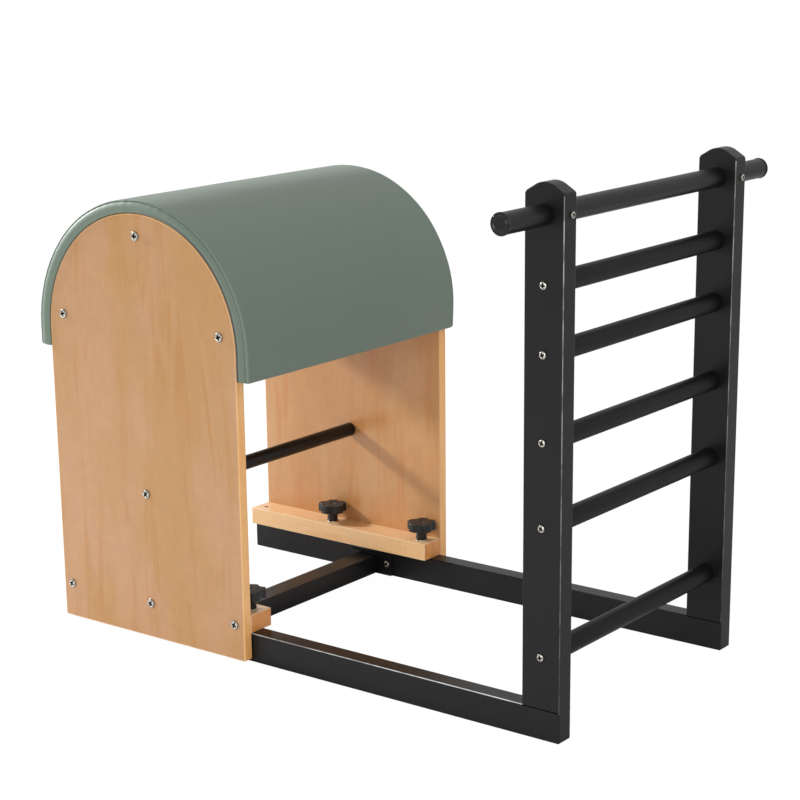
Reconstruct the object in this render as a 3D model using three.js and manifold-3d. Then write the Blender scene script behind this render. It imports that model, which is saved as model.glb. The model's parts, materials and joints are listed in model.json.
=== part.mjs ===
// Pilates ladder barrel: a padded half barrel between two wooden side panels. The barrel stands on
// the two rails of a black steel frame and slides along them towards a ladder of round rungs.
// Four star knobs hold it where it is put.
//
// Millimetres. X runs along the length, from the barrel to the ladder, Y runs across and Z up.
// The origin is on the floor, under the middle of the whole object.
// "Near" pieces lie on the -Y side and "far" pieces on the +Y side.

import * as THREE from 'three';
import { mergeVertices } from 'three/addons/utils/BufferGeometryUtils.js';
import Module from 'manifold-3d';

const wasm = await Module();
wasm.setup();

// Fits and counts that all pieces share
const overrun = 2; // how far a cutter stands past the face that it cuts
const seatGap = 0.3; // between a piece and the seat that it rests on
const runningGap = 0.5; // around a stud or nut that moves in its hole or slot
const archSteps = 36; // facets of the half circle of the barrel
const cornerSteps = 4; // facets of a rounded corner of a post's top
const padCornerSteps = 3; // facets of a rounded edge of the pad
const tubeSteps = 24; // facets of a round tube
const screwSteps = 10; // facets of a screw and of its hole
const knobSteps = 40; // points of the lobed outline of a star knob

// Rails and crossbeam
const railLength = 1230;
const railWidth = 38;
const railHeight = 60;
const frameWidth = 630; // over the outer faces of the rails and posts
const tubeWall = 2.5;
const beamWidth = 50;
const beamHeight = 42;
const beamSetback = 334; // from the rails' rear end to the middle of the crossbeam
const beamPlateLength = 112;
const beamPlateShift = 10.5; // the end plates stand off the tube's middle, towards the front
const beamPlateHeight = 46;
const beamPlateThickness = 4;
const beamVentDiameter = 12; // vent through each welded end plate
const beamScrewSpacing = 89; // between the two screws of one end plate
const beamScrewHeight = 27;

// Ladder
const ladderHeight = 1000;
const postDepth = 80;
const postTopSlope = 31; // degrees, of both flanks of a post's top
const postApexRadius = 38;
const postShoulderRadius = 8;
const rungDiameter = 38;
const rungWall = 2;
const rungEndWall = 5; // welded disc that closes a rung and takes its screw
const topBarDrop = 55; // from the top of the posts down to the handle bar
const rungHeightShares = [0.873, 0.746, 0.582, 0.419, 0.166]; // of the top bar's height
const handleReach = 127; // bare handle past the outer face of a post
const capDiameter = 40;
const capFlange = 3;
const capPlugLength = 18;
const capRingDepth = 0.8; // of the ring groove in the cap's face, and of the bevel round it
const capGrooveOuterShare = 0.8; // of the cap's radius
const capGrooveInnerShare = 0.6;

// Barrel
const barrelSetback = 5; // from the rails' rear end to the side panels
const panelWidth = 502;
const panelThickness = 22;
const panelSideGap = 1; // between a rail and the side panel that it guides
const panelFloorGap = 6;
const archTop = 874; // highest point of the wooden arch
const deckThickness = 18;
const deckDrop = 33; // straight skirt of the deck below the middle of the arch
const padThickness = 27;
const padRearDrop = 39; // straight skirts of the pad below the middle of the arch
const padFrontDrop = 51;
const padOverhang = 2; // past the outer face of a side panel
const padCrown = 1;
const padEdgeRadius = 4;
const padHemRadius = 3;
const padHemShares = [[0, 0.72], [0.12, 0.93], [0.3, 1]]; // up the skirt, and of the pad's thickness
const battenWidth = 44;
const topBattenDepth = 48;
const sideBattenDepth = 36;
const sideBattenRise = 32; // above the middle of the arch
const footBarHeight = 310;
const footBarDiameter = 30;

// Cleats, slide and star knobs
const cleatWidth = 59;
const cleatHeight = 37;
const cleatSetback = 0.5; // each end of a cleat stands back from the panel's edge
const cleatScrewSetback = 24; // from the panel's edge to the outer cleat screws
const knobClearance = 0.5; // between a knob's head and the side panel beside it
const middleKnobPlace = -30; // along X from the middle of the barrel
const middleKnobTurn = 55; // degrees about its own axis, as is the next
const frontKnobTurn = 45;
const frontKnobSetback = 29; // from the panel's front edge
const spareHoleSetback = 24; // from the panel's rear edge
const spareHoleDiameter = 12;
const barrelTravel = 200;
const knobDiameter = 63;
const knobLobeDepth = 6;
const knobHeadHeight = 18;
const knobHubHeight = 20.5;
const knobHubDiameter = 23.5;
const knobEdge = 2.5;
const studDiameter = 8;
const washerDiameter = 28;
const washerThickness = 2;
const slideNutLength = 34;
const slideNutThickness = 8;
const studTail = 4; // the stud stands out under the slide nut

// Pan-head screws
const screwHeadDiameter = 13;
const screwHeadHeight = 4;
const screwShankDiameter = 6;
const screwBite = 20; // into wood, past the side panel
const screwTail = 3; // past the disc or wall that holds it
const barScrewOffset = 5; // off the post's middle towards +Y, alike on both posts
const screwRimShare = 0.45; // of the head's height, where its dome starts
const screwDomeRadiusShare = 0.7; // a point on the dome, as shares of the head's radius and height
const screwDomeHeightShare = 0.88;
const screwTipShare = 0.5; // of the shank's radius, at the blunt tip
const recessLength = 7;
const recessWidth = 1.3;
const recessDepth = 1.6;

// Heights and places worked out from the sizes above
const railInnerY = frameWidth / 2 - railWidth;
const railMiddleY = frameWidth / 2 - railWidth / 2;
const postMiddleX = railLength / 2 - postDepth / 2;
const topBarHeight = ladderHeight - topBarDrop;
const rungHeights = rungHeightShares.map((share) => topBarHeight * share);
const rungLength = 2 * railInnerY;
const beamMiddleX = beamSetback - railLength / 2;
const screwHoleRadius = screwShankDiameter / 2 + seatGap;

const barrelMiddleX = barrelSetback + panelWidth / 2 - railLength / 2;
const archRadius = panelWidth / 2;
const archMiddleZ = archTop - archRadius;
const panelInnerY = frameWidth / 2 + panelSideGap;
const panelOuterY = panelInnerY + panelThickness;
const cleatScrewReach = panelWidth / 2 - cleatScrewSetback;
const cleatBottom = railHeight + seatGap;
const cleatTop = cleatBottom + cleatHeight;
const knobInset = knobDiameter / 2 + knobClearance;
const knobY = panelInnerY - knobInset;
const deckInnerRadius = archRadius - deckThickness;
const studHoleRadius = studDiameter / 2 + runningGap;
const slideNutTop = railHeight - tubeWall - seatGap;

// The finished object is moved along X so that the origin lies under the middle of its box
const rearmostX = barrelMiddleX - archRadius - seatGap - padThickness;
const foremostX = railLength / 2 + seatGap + screwHeadHeight;
const originX = (rearmostX + foremostX) / 2;

// Finishes
const blackPaint = new THREE.MeshStandardMaterial({ color: 0x2c2d2f, roughness: 0.45, metalness: 0.2 });
const plywood = new THREE.MeshStandardMaterial({ color: 0xcda077, roughness: 0.55, metalness: 0 });
const beech = new THREE.MeshStandardMaterial({ color: 0xdfb386, roughness: 0.5, metalness: 0 });
const pine = new THREE.MeshStandardMaterial({ color: 0xe0c596, roughness: 0.6, metalness: 0 });
const vinyl = new THREE.MeshStandardMaterial({ color: 0x69766c, roughness: 0.5, metalness: 0 });
const blackPlastic = new THREE.MeshStandardMaterial({ color: 0x1d1e1f, roughness: 0.5, metalness: 0 });
const glossPlastic = new THREE.MeshStandardMaterial({ color: 0x141415, roughness: 0.2, metalness: 0 });
const zinc = new THREE.MeshStandardMaterial({ color: 0xc9c6bd, roughness: 0.3, metalness: 1 });

// Joining and cutting: a closed geometry becomes a solid, and a solid a geometry again
function toSolid(geometry) {
  const bare = geometry.clone();
  bare.deleteAttribute('normal');
  bare.deleteAttribute('uv');
  const merged = mergeVertices(bare);
  const mesh = new wasm.Mesh({
    numProp: 3,
    vertProperties: new Float32Array(merged.attributes.position.array),
    triVerts: new Uint32Array(merged.index.array),
  });
  return new wasm.Manifold(mesh);
}

function toGeometry(solid) {
  const mesh = solid.getMesh();
  const geometry = new THREE.BufferGeometry();
  geometry.setAttribute('position', new THREE.BufferAttribute(mesh.vertProperties, 3));
  geometry.setIndex(new THREE.BufferAttribute(mesh.triVerts, 1));
  return geometry;
}

function cut(geometry, cutters) {
  let solid = toSolid(geometry);
  for (const cutter of cutters) {
    solid = solid.subtract(toSolid(cutter));
  }
  return toGeometry(solid);
}

function join(geometries) {
  let solid = toSolid(geometries[0]);
  for (const geometry of geometries.slice(1)) {
    solid = solid.add(toSolid(geometry));
  }
  return toGeometry(solid);
}

// Basic forms, each placed by the middle of its length
function box(lengthX, lengthY, lengthZ, x, y, z) {
  return new THREE.BoxGeometry(lengthX, lengthY, lengthZ).translate(x, y, z);
}

function rodAlongX(radius, length, x, y, z, steps) {
  return new THREE.CylinderGeometry(radius, radius, length, steps).rotateZ(Math.PI / 2).translate(x, y, z);
}

function rodAlongY(radius, length, x, y, z, steps) {
  return new THREE.CylinderGeometry(radius, radius, length, steps).translate(x, y, z);
}

function rodAlongZ(radius, length, x, y, z, steps) {
  return new THREE.CylinderGeometry(radius, radius, length, steps).rotateX(Math.PI / 2).translate(x, y, z);
}

function screwHoleAlongY(length, x, y, z) {
  return rodAlongY(screwHoleRadius, length, x, y, z, screwSteps);
}

// A shape drawn in X and Z, given a thickness across and centred on the X-Z plane. An arc gets two
// facets for each of three.js's curve segments.
function plate(shape, thickness, arcSteps) {
  const settings = { depth: thickness, bevelEnabled: false, curveSegments: arcSteps / 2 };
  const geometry = new THREE.ExtrudeGeometry(shape, settings);
  return geometry.rotateX(Math.PI / 2).translate(0, thickness / 2, 0);
}

function place(parent, name, geometry, material, x, y, z) {
  const mesh = new THREE.Mesh(geometry, material);
  mesh.name = name;
  mesh.position.set(x, y, z);
  parent.add(mesh);
  return mesh;
}

// The two sides of the object, and the way out of it on each
const sides = [
  { name: 'near', out: -1 },
  { name: 'far', out: 1 },
];

// Pan-head screw with a cross recess. It stands along Y with the head's seat at y = 0 and the head
// on the +Y side.
function screw(shankLength) {
  const headRadius = screwHeadDiameter / 2;
  const shankRadius = screwShankDiameter / 2;
  const tipRadius = shankRadius * screwTipShare;
  const profile = [
    new THREE.Vector2(0, -shankLength),
    new THREE.Vector2(tipRadius, -shankLength),
    new THREE.Vector2(shankRadius, tipRadius - shankLength),
    new THREE.Vector2(shankRadius, 0),
    new THREE.Vector2(headRadius, 0),
    new THREE.Vector2(headRadius, screwHeadHeight * screwRimShare),
    new THREE.Vector2(headRadius * screwDomeRadiusShare, screwHeadHeight * screwDomeHeightShare),
    new THREE.Vector2(0, screwHeadHeight),
  ];
  const body = new THREE.LatheGeometry(profile, screwSteps);
  const recessHeight = recessDepth + overrun;
  const recessMiddle = screwHeadHeight - recessDepth + recessHeight / 2;
  return cut(body, [
    box(recessLength, recessHeight, recessWidth, 0, recessMiddle, 0),
    box(recessWidth, recessHeight, recessLength, 0, recessMiddle, 0),
  ]);
}

// A screw driven in across the object, its head seated on a face at the distance y from the middle
function placeScrewAcross(parent, name, geometry, side, x, y, z) {
  const mesh = place(parent, name, geometry, zinc, x, side.out * (y + seatGap), z);
  if (side.out < 0) {
    mesh.rotation.x = Math.PI;
  }
}

const group = new THREE.Group();
const frame = new THREE.Group();
const barrel = new THREE.Group();
frame.position.x = -originX;
barrel.position.x = barrelMiddleX - originX;
group.add(frame);
group.add(barrel);

// Rails: rectangular steel tube, closed at both ends. The slot in the top wall lets a stud travel
// with the barrel, and the cleat above hides it at every place of the barrel.
function rail(side) {
  const inside = box(
    railLength - 2 * tubeWall, railWidth - 2 * tubeWall, railHeight - 2 * tubeWall,
    0, 0, railHeight / 2,
  );
  const slotStart = barrelMiddleX + middleKnobPlace;
  const slotY = side.out * (knobY - railMiddleY);
  const slotWidth = 2 * studHoleRadius;
  const slotHeight = tubeWall + 2 * overrun;
  const slotZ = railHeight - tubeWall / 2;
  const slot = box(barrelTravel, slotWidth, slotHeight, slotStart + barrelTravel / 2, slotY, slotZ);
  const rearEnd = rodAlongZ(studHoleRadius, slotHeight, slotStart, slotY, slotZ, screwSteps);
  const frontEnd = rodAlongZ(studHoleRadius, slotHeight, slotStart + barrelTravel, slotY, slotZ, screwSteps);
  const cutters = [inside, slot, rearEnd, frontEnd];
  for (const along of [-1, 1]) {
    const x = beamMiddleX + beamPlateShift + along * beamScrewSpacing / 2;
    const y = -side.out * railWidth / 2;
    cutters.push(screwHoleAlongY(2 * (tubeWall + overrun), x, y, beamScrewHeight));
  }
  return cut(box(railLength, railWidth, railHeight, 0, 0, railHeight / 2), cutters);
}

for (const side of sides) {
  place(frame, `rail_${side.name}`, rail(side), blackPaint, 0, side.out * railMiddleY, 0);
}

// Crossbeam: a tube with a welded plate at each end, which two screws hold against each rail
function crossbeam() {
  const tubeLength = rungLength - 2 * seatGap;
  const pieces = [box(beamWidth, tubeLength, beamHeight, 0, 0, beamHeight / 2)];
  const plateY = tubeLength / 2 - beamPlateThickness / 2;
  const innerLength = tubeLength - 2 * beamPlateThickness;
  const innerHeight = beamHeight - 2 * tubeWall;
  const cutters = [box(beamWidth - 2 * tubeWall, innerLength, innerHeight, 0, 0, beamHeight / 2)];
  const holeLength = beamPlateThickness + 2 * overrun;
  for (const side of sides) {
    const y = side.out * plateY;
    const plateZ = beamPlateHeight / 2;
    pieces.push(box(beamPlateLength, beamPlateThickness, beamPlateHeight, beamPlateShift, y, plateZ));
    cutters.push(rodAlongY(beamVentDiameter / 2, holeLength, 0, y, beamHeight / 2, screwSteps));
    for (const along of [-1, 1]) {
      const x = beamPlateShift + along * beamScrewSpacing / 2;
      cutters.push(screwHoleAlongY(holeLength, x, y, beamScrewHeight));
    }
  }
  return cut(join(pieces), cutters);
}

place(frame, 'crossbeam', crossbeam(), blackPaint, beamMiddleX, 0, 0);

// Posts: rectangular tube standing on the rail's end, open below and closed by a low gabled top
// whose apex and shoulders are rounded. An inset draws the same outline inside the tube's wall.
function postOutline(bottom, inset) {
  const slope = THREE.MathUtils.degToRad(postTopSlope);
  const half = postDepth / 2 - inset;
  const apexRadius = postApexRadius - inset;
  const shoulderRadius = postShoulderRadius - inset;
  const apexZ = ladderHeight - postApexRadius;
  const shoulderX = half - shoulderRadius;
  const flankDrop = (shoulderX - (apexRadius - shoulderRadius) * Math.sin(slope)) * Math.tan(slope);
  const shoulderZ = apexZ + (apexRadius - shoulderRadius) * Math.cos(slope) - flankDrop;
  const upright = Math.PI / 2;
  const shape = new THREE.Shape();
  shape.moveTo(-half, bottom);
  shape.lineTo(half, bottom);
  shape.absarc(shoulderX, shoulderZ, shoulderRadius, 0, upright - slope, false);
  shape.absarc(0, apexZ, apexRadius, upright - slope, upright + slope, false);
  shape.absarc(-shoulderX, shoulderZ, shoulderRadius, upright + slope, Math.PI, false);
  shape.closePath();
  return shape;
}

function post() {
  const outer = plate(postOutline(railHeight, 0), railWidth, cornerSteps);
  const innerShape = postOutline(railHeight - overrun, tubeWall);
  const inner = plate(innerShape, railWidth - 2 * tubeWall, cornerSteps);
  const across = railWidth + 2 * overrun;
  const frontWallX = postDepth / 2 - tubeWall / 2;
  const cutters = [
    inner,
    rodAlongY(rungDiameter / 2 + seatGap, across, 0, 0, topBarHeight, tubeSteps),
    rodAlongX(screwHoleRadius, tubeWall + 2 * overrun, frontWallX, barScrewOffset, topBarHeight, screwSteps),
  ];
  for (const height of rungHeights) {
    cutters.push(screwHoleAlongY(across, 0, 0, height));
  }
  return cut(outer, cutters);
}

for (const side of sides) {
  place(frame, `post_${side.name}`, post(), blackPaint, postMiddleX, side.out * railMiddleY, 0);
}

// Rungs: round tube with a disc welded in each end. The profile runs round the wall and both discs.
function rung(diameter, length) {
  const outer = diameter / 2;
  const inner = outer - rungWall;
  const half = length / 2;
  const profile = [
    new THREE.Vector2(screwHoleRadius, -half),
    new THREE.Vector2(outer, -half),
    new THREE.Vector2(outer, half),
    new THREE.Vector2(screwHoleRadius, half),
    new THREE.Vector2(screwHoleRadius, half - rungEndWall),
    new THREE.Vector2(inner, half - rungEndWall),
    new THREE.Vector2(inner, rungEndWall - half),
    new THREE.Vector2(screwHoleRadius, rungEndWall - half),
    new THREE.Vector2(screwHoleRadius, -half),
  ];
  return new THREE.LatheGeometry(profile, tubeSteps);
}

const rungGeometry = rung(rungDiameter, rungLength - 2 * seatGap);
const rungScrew = screw(railWidth + rungEndWall + screwTail);
for (const [index, height] of rungHeights.entries()) {
  place(frame, `rung_${index + 1}`, rungGeometry, blackPaint, postMiddleX, 0, height);
  for (const side of sides) {
    const name = `rung_screw_${side.name}_${index + 1}`;
    placeScrewAcross(frame, name, rungScrew, side, postMiddleX, frameWidth / 2, height);
  }
}

// Top bar: one tube through both posts. Its bare ends are the handles. A hole in the front of the
// tube inside each post takes the screw that holds it.
function topBar() {
  const half = frameWidth / 2 + handleReach;
  const outer = rungDiameter / 2;
  const inner = outer - rungWall;
  const profile = [
    new THREE.Vector2(inner, -half),
    new THREE.Vector2(outer, -half),
    new THREE.Vector2(outer, half),
    new THREE.Vector2(inner, half),
    new THREE.Vector2(inner, -half),
  ];
  const tube = new THREE.LatheGeometry(profile, tubeSteps);
  const holeLength = 2 * (rungWall + overrun);
  const holes = sides.map((side) => {
    const holeY = side.out * railMiddleY + barScrewOffset;
    return rodAlongX(screwHoleRadius, holeLength, outer, holeY, 0, screwSteps);
  });
  return cut(tube, holes);
}

place(frame, 'top_bar', topBar(), blackPaint, postMiddleX, 0, topBarHeight);

const barScrew = screw(postDepth / 2 - rungDiameter / 2 + rungWall + screwTail);
for (const side of sides) {
  const x = railLength / 2 + seatGap;
  const y = side.out * railMiddleY + barScrewOffset;
  const mesh = place(frame, `bar_screw_${side.name}`, barScrew, zinc, x, y, topBarHeight);
  mesh.rotation.z = -Math.PI / 2;
}

// Handle caps: a plug pushed into the tube, with a ringed face of the tube's own diameter
function handleCap() {
  const outer = capDiameter / 2;
  const plug = rungDiameter / 2 - rungWall - seatGap;
  const ring = capRingDepth;
  const grooveOuter = outer * capGrooveOuterShare;
  const grooveInner = outer * capGrooveInnerShare;
  const profile = [
    new THREE.Vector2(0, -capPlugLength),
    new THREE.Vector2(plug, -capPlugLength),
    new THREE.Vector2(plug, 0),
    new THREE.Vector2(outer, 0),
    new THREE.Vector2(outer, capFlange - ring),
    new THREE.Vector2(outer - ring, capFlange),
    new THREE.Vector2(grooveOuter, capFlange),
    new THREE.Vector2(grooveOuter, capFlange - ring),
    new THREE.Vector2(grooveInner, capFlange - ring),
    new THREE.Vector2(grooveInner, capFlange),
    new THREE.Vector2(0, capFlange),
  ];
  return new THREE.LatheGeometry(profile, tubeSteps);
}

const capGeometry = handleCap();
for (const side of sides) {
  const y = side.out * (frameWidth / 2 + handleReach + seatGap);
  const name = `handle_cap_${side.name}`;
  const mesh = place(frame, name, capGeometry, glossPlastic, postMiddleX, y, topBarHeight);
  if (side.out < 0) {
    mesh.rotation.x = Math.PI;
  }
}

// Places of the battens and of the screws that hold a side panel, from the middle of the barrel.
// A batten's two outer edges meet the inside of the deck.
const deckFlatRadius = deckInnerRadius * Math.cos(Math.PI / 2 / archSteps) - seatGap;
const battenSeat = Math.sqrt(deckFlatRadius ** 2 - (battenWidth / 2) ** 2);
const topBattenRise = battenSeat - topBattenDepth / 2;
const sideBattenRadius = battenSeat - sideBattenDepth / 2;
const sideBattenAngle = Math.asin(sideBattenRise / sideBattenRadius);
const sideBattenReach = sideBattenRadius * Math.cos(sideBattenAngle);
const sideBattenTurn = Math.PI / 2 - sideBattenAngle;
const sideBattenZ = archMiddleZ + sideBattenRise;
const battens = [
  { name: 'top', depth: topBattenDepth, x: 0, z: archMiddleZ + topBattenRise, turn: 0 },
  { name: 'rear', depth: sideBattenDepth, x: -sideBattenReach, z: sideBattenZ, turn: -sideBattenTurn },
  { name: 'front', depth: sideBattenDepth, x: sideBattenReach, z: sideBattenZ, turn: sideBattenTurn },
];
const panelScrewPlaces = [
  ...battens.map((batten) => ({ x: batten.x, z: batten.z })),
  { x: 0, z: footBarHeight },
  ...[-1, 0, 1].map((along) => ({ x: along * cleatScrewReach, z: cleatBottom + cleatHeight / 2 })),
];

// Side panels: a board with a half-round top, drilled for its screws
function sidePanel() {
  const shape = new THREE.Shape();
  shape.moveTo(-archRadius, panelFloorGap);
  shape.lineTo(archRadius, panelFloorGap);
  shape.absarc(0, archMiddleZ, archRadius, 0, Math.PI, false);
  shape.closePath();
  const holeLength = panelThickness + 2 * overrun;
  const holes = panelScrewPlaces.map((spot) => screwHoleAlongY(holeLength, spot.x, 0, spot.z));
  return cut(plate(shape, panelThickness, archSteps), holes);
}

const panelScrew = screw(panelThickness + screwBite);
for (const side of sides) {
  const y = side.out * (panelInnerY + panelThickness / 2);
  place(barrel, `side_panel_${side.name}`, sidePanel(), plywood, 0, y, 0);
  for (const [index, spot] of panelScrewPlaces.entries()) {
    const name = `panel_screw_${side.name}_${index + 1}`;
    placeScrewAcross(barrel, name, panelScrew, side, spot.x, panelOuterY, spot.z);
  }
}

// Battens: square timber between the panels, under the deck, with a blind hole in each end
function batten(depth) {
  const length = 2 * (panelInnerY - seatGap);
  const holeLength = screwBite + screwTail + overrun;
  const holeY = length / 2 + overrun - holeLength / 2;
  const holes = sides.map((side) => screwHoleAlongY(holeLength, 0, side.out * holeY, 0));
  return cut(box(battenWidth, length, depth, 0, 0, 0), holes);
}

for (const spot of battens) {
  const mesh = place(barrel, `batten_${spot.name}`, batten(spot.depth), pine, spot.x, 0, spot.z);
  mesh.rotation.y = spot.turn;
}

// Foot bar: a closed round tube between the panels
const footBar = rung(footBarDiameter, 2 * (panelInnerY - seatGap));
place(barrel, 'foot_bar', footBar, blackPaint, 0, 0, footBarHeight);

// An arch in X and Z: two half circles with straight legs down to the given height
function archShape(outerRadius, innerRadius, legBottom) {
  const shape = new THREE.Shape();
  shape.moveTo(outerRadius, legBottom);
  shape.absarc(0, archMiddleZ, outerRadius, 0, Math.PI, false);
  shape.lineTo(-outerRadius, legBottom);
  shape.lineTo(-innerRadius, legBottom);
  shape.absarc(0, archMiddleZ, innerRadius, Math.PI, 0, true);
  shape.lineTo(innerRadius, legBottom);
  shape.closePath();
  return shape;
}

// Deck: bent plywood between the panels, flush with their arched edges, which carries the pad
const deckShape = archShape(archRadius, deckInnerRadius, archMiddleZ - deckDrop);
place(barrel, 'barrel_deck', plate(deckShape, 2 * (panelInnerY - seatGap), archSteps), plywood, 0, 0, 0);

// Pad: foam in a vinyl cover, bent over the deck and the panels' edges. Each station along the arch
// holds the same section: flat below, rolled edges, and a low crown across the top. The section
// thins at both hems, where the cover turns under.
function padSection() {
  const half = panelOuterY + padOverhang;
  const points = [];
  for (let step = 0; step <= padCornerSteps; step += 1) {
    const angle = Math.PI / 2 * step / padCornerSteps;
    const across = half - padHemRadius + padHemRadius * Math.sin(angle);
    points.push([across, padHemRadius - padHemRadius * Math.cos(angle)]);
  }
  const shoulder = padThickness - padCrown;
  for (let step = 0; step <= padCornerSteps; step += 1) {
    const angle = Math.PI / 2 * step / padCornerSteps;
    const across = half - padEdgeRadius + padEdgeRadius * Math.cos(angle);
    points.push([across, shoulder - padEdgeRadius + padEdgeRadius * Math.sin(angle)]);
  }
  const crownSteps = 3;
  for (let step = 1; step <= crownSteps; step += 1) {
    const share = step / crownSteps;
    const across = (half - padEdgeRadius) * (1 - share);
    points.push([across, shoulder + padCrown * (1 - (1 - share) ** 2)]);
  }
  const mirrored = points.slice(0, -1).reverse().map(([across, up]) => [-across, up]);
  return [...points, ...mirrored];
}

function padStations() {
  const radius = archRadius + seatGap;
  const stations = [];
  for (const [share, thick] of padHemShares) {
    stations.push({ x: -radius, z: archMiddleZ - padRearDrop * (1 - share), nx: -1, nz: 0, thick });
  }
  for (let step = 0; step <= archSteps; step += 1) {
    const angle = Math.PI * (1 - step / archSteps);
    const nx = Math.cos(angle);
    const nz = Math.sin(angle);
    stations.push({ x: radius * nx, z: archMiddleZ + radius * nz, nx, nz, thick: 1 });
  }
  for (const [share, thick] of padHemShares.toReversed()) {
    stations.push({ x: radius, z: archMiddleZ - padFrontDrop * (1 - share), nx: 1, nz: 0, thick });
  }
  return stations;
}

function pad() {
  const section = padSection();
  const stations = padStations();
  const count = section.length;
  const positions = [];
  for (const station of stations) {
    for (const [across, up] of section) {
      const out = up * station.thick;
      positions.push(station.x + station.nx * out, across, station.z + station.nz * out);
    }
  }
  const faces = [];
  for (let ring = 0; ring + 1 < stations.length; ring += 1) {
    for (let point = 0; point < count; point += 1) {
      const a = ring * count + point;
      const b = ring * count + (point + 1) % count;
      faces.push(a, b, a + count, b, b + count, a + count);
    }
  }
  const last = (stations.length - 1) * count;
  for (let point = 1; point + 1 < count; point += 1) {
    faces.push(0, point + 1, point);
    faces.push(last, last + point, last + point + 1);
  }
  const geometry = new THREE.BufferGeometry();
  geometry.setAttribute('position', new THREE.Float32BufferAttribute(positions, 3));
  geometry.setIndex(faces);
  return geometry;
}

place(barrel, 'barrel_pad', pad(), vinyl, 0, 0, 0);

// Cleats: beech bars screwed to the panels' inner faces, which rest on the rails and slide on them.
// Each has a hole for both knobs and a spare one at the rear.
const knobPlaces = [
  { name: 'middle', x: middleKnobPlace, turn: middleKnobTurn, clampsRail: true },
  { name: 'front', x: panelWidth / 2 - frontKnobSetback, turn: frontKnobTurn, clampsRail: false },
];

function cleat(side) {
  const length = panelWidth - 2 * cleatSetback;
  const holeY = side.out * (cleatWidth / 2 - knobInset);
  const holeLength = cleatHeight + 2 * overrun;
  const spareX = spareHoleSetback - panelWidth / 2;
  const cutters = [rodAlongZ(spareHoleDiameter / 2, holeLength, spareX, holeY, 0, screwSteps)];
  for (const knob of knobPlaces) {
    cutters.push(rodAlongZ(studHoleRadius, holeLength, knob.x, holeY, 0, screwSteps));
  }
  const screwHoleLength = screwBite + screwTail + overrun;
  const screwHoleY = side.out * (cleatWidth / 2 + overrun - screwHoleLength / 2);
  for (const along of [-1, 0, 1]) {
    cutters.push(screwHoleAlongY(screwHoleLength, along * cleatScrewReach, screwHoleY, 0));
  }
  return cut(box(length, cleatWidth, cleatHeight, 0, 0, 0), cutters);
}

for (const side of sides) {
  const y = side.out * (panelInnerY - seatGap - cleatWidth / 2);
  place(barrel, `cleat_${side.name}`, cleat(side), beech, 0, y, cleatBottom + cleatHeight / 2);
}

// Star knob: a lobed plastic head on a round hub, with a steel stud moulded in. It stands along Z
// with the hub's underside at z = 0.
function starKnob(studLength) {
  const lobes = 5;
  const middleRadius = knobDiameter / 2 - knobLobeDepth / 2 - knobEdge;
  const points = [];
  for (let step = 0; step < knobSteps; step += 1) {
    const angle = 2 * Math.PI * step / knobSteps;
    const radius = middleRadius + knobLobeDepth / 2 * Math.cos(lobes * angle);
    points.push(new THREE.Vector2(radius * Math.cos(angle), radius * Math.sin(angle)));
  }
  const head = new THREE.ExtrudeGeometry(new THREE.Shape(points), {
    depth: knobHeadHeight - 2 * knobEdge,
    bevelEnabled: true,
    bevelSize: knobEdge,
    bevelThickness: knobEdge,
    bevelSegments: 1,
  });
  head.translate(0, 0, knobHubHeight + knobEdge);
  const sunk = knobHubHeight + knobHeadHeight / 2;
  const hub = rodAlongZ(knobHubDiameter / 2, sunk, 0, 0, sunk / 2, tubeSteps);
  const studWhole = studLength + knobHubHeight;
  const stud = rodAlongZ(studDiameter / 2, studWhole, 0, 0, knobHubHeight - studWhole / 2, screwSteps);
  return join([head, hub, stud]);
}

function washer() {
  const inner = studHoleRadius;
  const outer = washerDiameter / 2;
  const profile = [
    new THREE.Vector2(inner, 0),
    new THREE.Vector2(outer, 0),
    new THREE.Vector2(outer, washerThickness),
    new THREE.Vector2(inner, washerThickness),
    new THREE.Vector2(inner, 0),
  ];
  return new THREE.LatheGeometry(profile, tubeSteps).rotateX(Math.PI / 2);
}

// A middle knob's stud goes through the cleat and the rail's slot into a nut inside the rail. A
// front knob's stud stops on top of the rail and steadies the barrel there.
const washerBottom = cleatTop + seatGap;
const knobBottom = washerBottom + washerThickness + seatGap;
const clampStud = knobBottom - slideNutTop + slideNutThickness + studTail;
const steadyStud = knobBottom - railHeight - seatGap;

for (const side of sides) {
  const y = side.out * knobY;
  for (const knob of knobPlaces) {
    const geometry = starKnob(knob.clampsRail ? clampStud : steadyStud);
    const where = `${side.name}_${knob.name}`;
    const mesh = place(barrel, `star_knob_${where}`, geometry, blackPlastic, knob.x, y, knobBottom);
    mesh.rotation.z = THREE.MathUtils.degToRad(knob.turn);
    place(barrel, `knob_washer_${where}`, washer(), zinc, knob.x, y, washerBottom);
  }
}

// Slide nuts: steel blocks inside the rails that the middle knobs pull up against the top wall
function slideNut(side) {
  const width = railWidth - 2 * (tubeWall + runningGap);
  const holeY = side.out * (knobY - railMiddleY);
  const hole = rodAlongZ(studHoleRadius, slideNutThickness + 2 * overrun, 0, holeY, 0, screwSteps);
  return cut(box(slideNutLength, width, slideNutThickness, 0, 0, 0), [hole]);
}

for (const side of sides) {
  const y = side.out * railMiddleY;
  const z = slideNutTop - slideNutThickness / 2;
  place(barrel, `slide_nut_${side.name}`, slideNut(side), zinc, middleKnobPlace, y, z);
}

export default group;
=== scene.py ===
# %% [markdown]
# # A ladder barrel in wood, leatherette and black steel
# The object is a padded half barrel between two wooden panels. It slides on the rails of a black
# steel frame that ends in a ladder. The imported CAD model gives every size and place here. Each
# visible piece is made again with the soft edges and fine forms that a finished product has.

# %% Load the frame
import bpy
import json
import math
import numpy as np
from mathutils import Matrix, Vector


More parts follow.
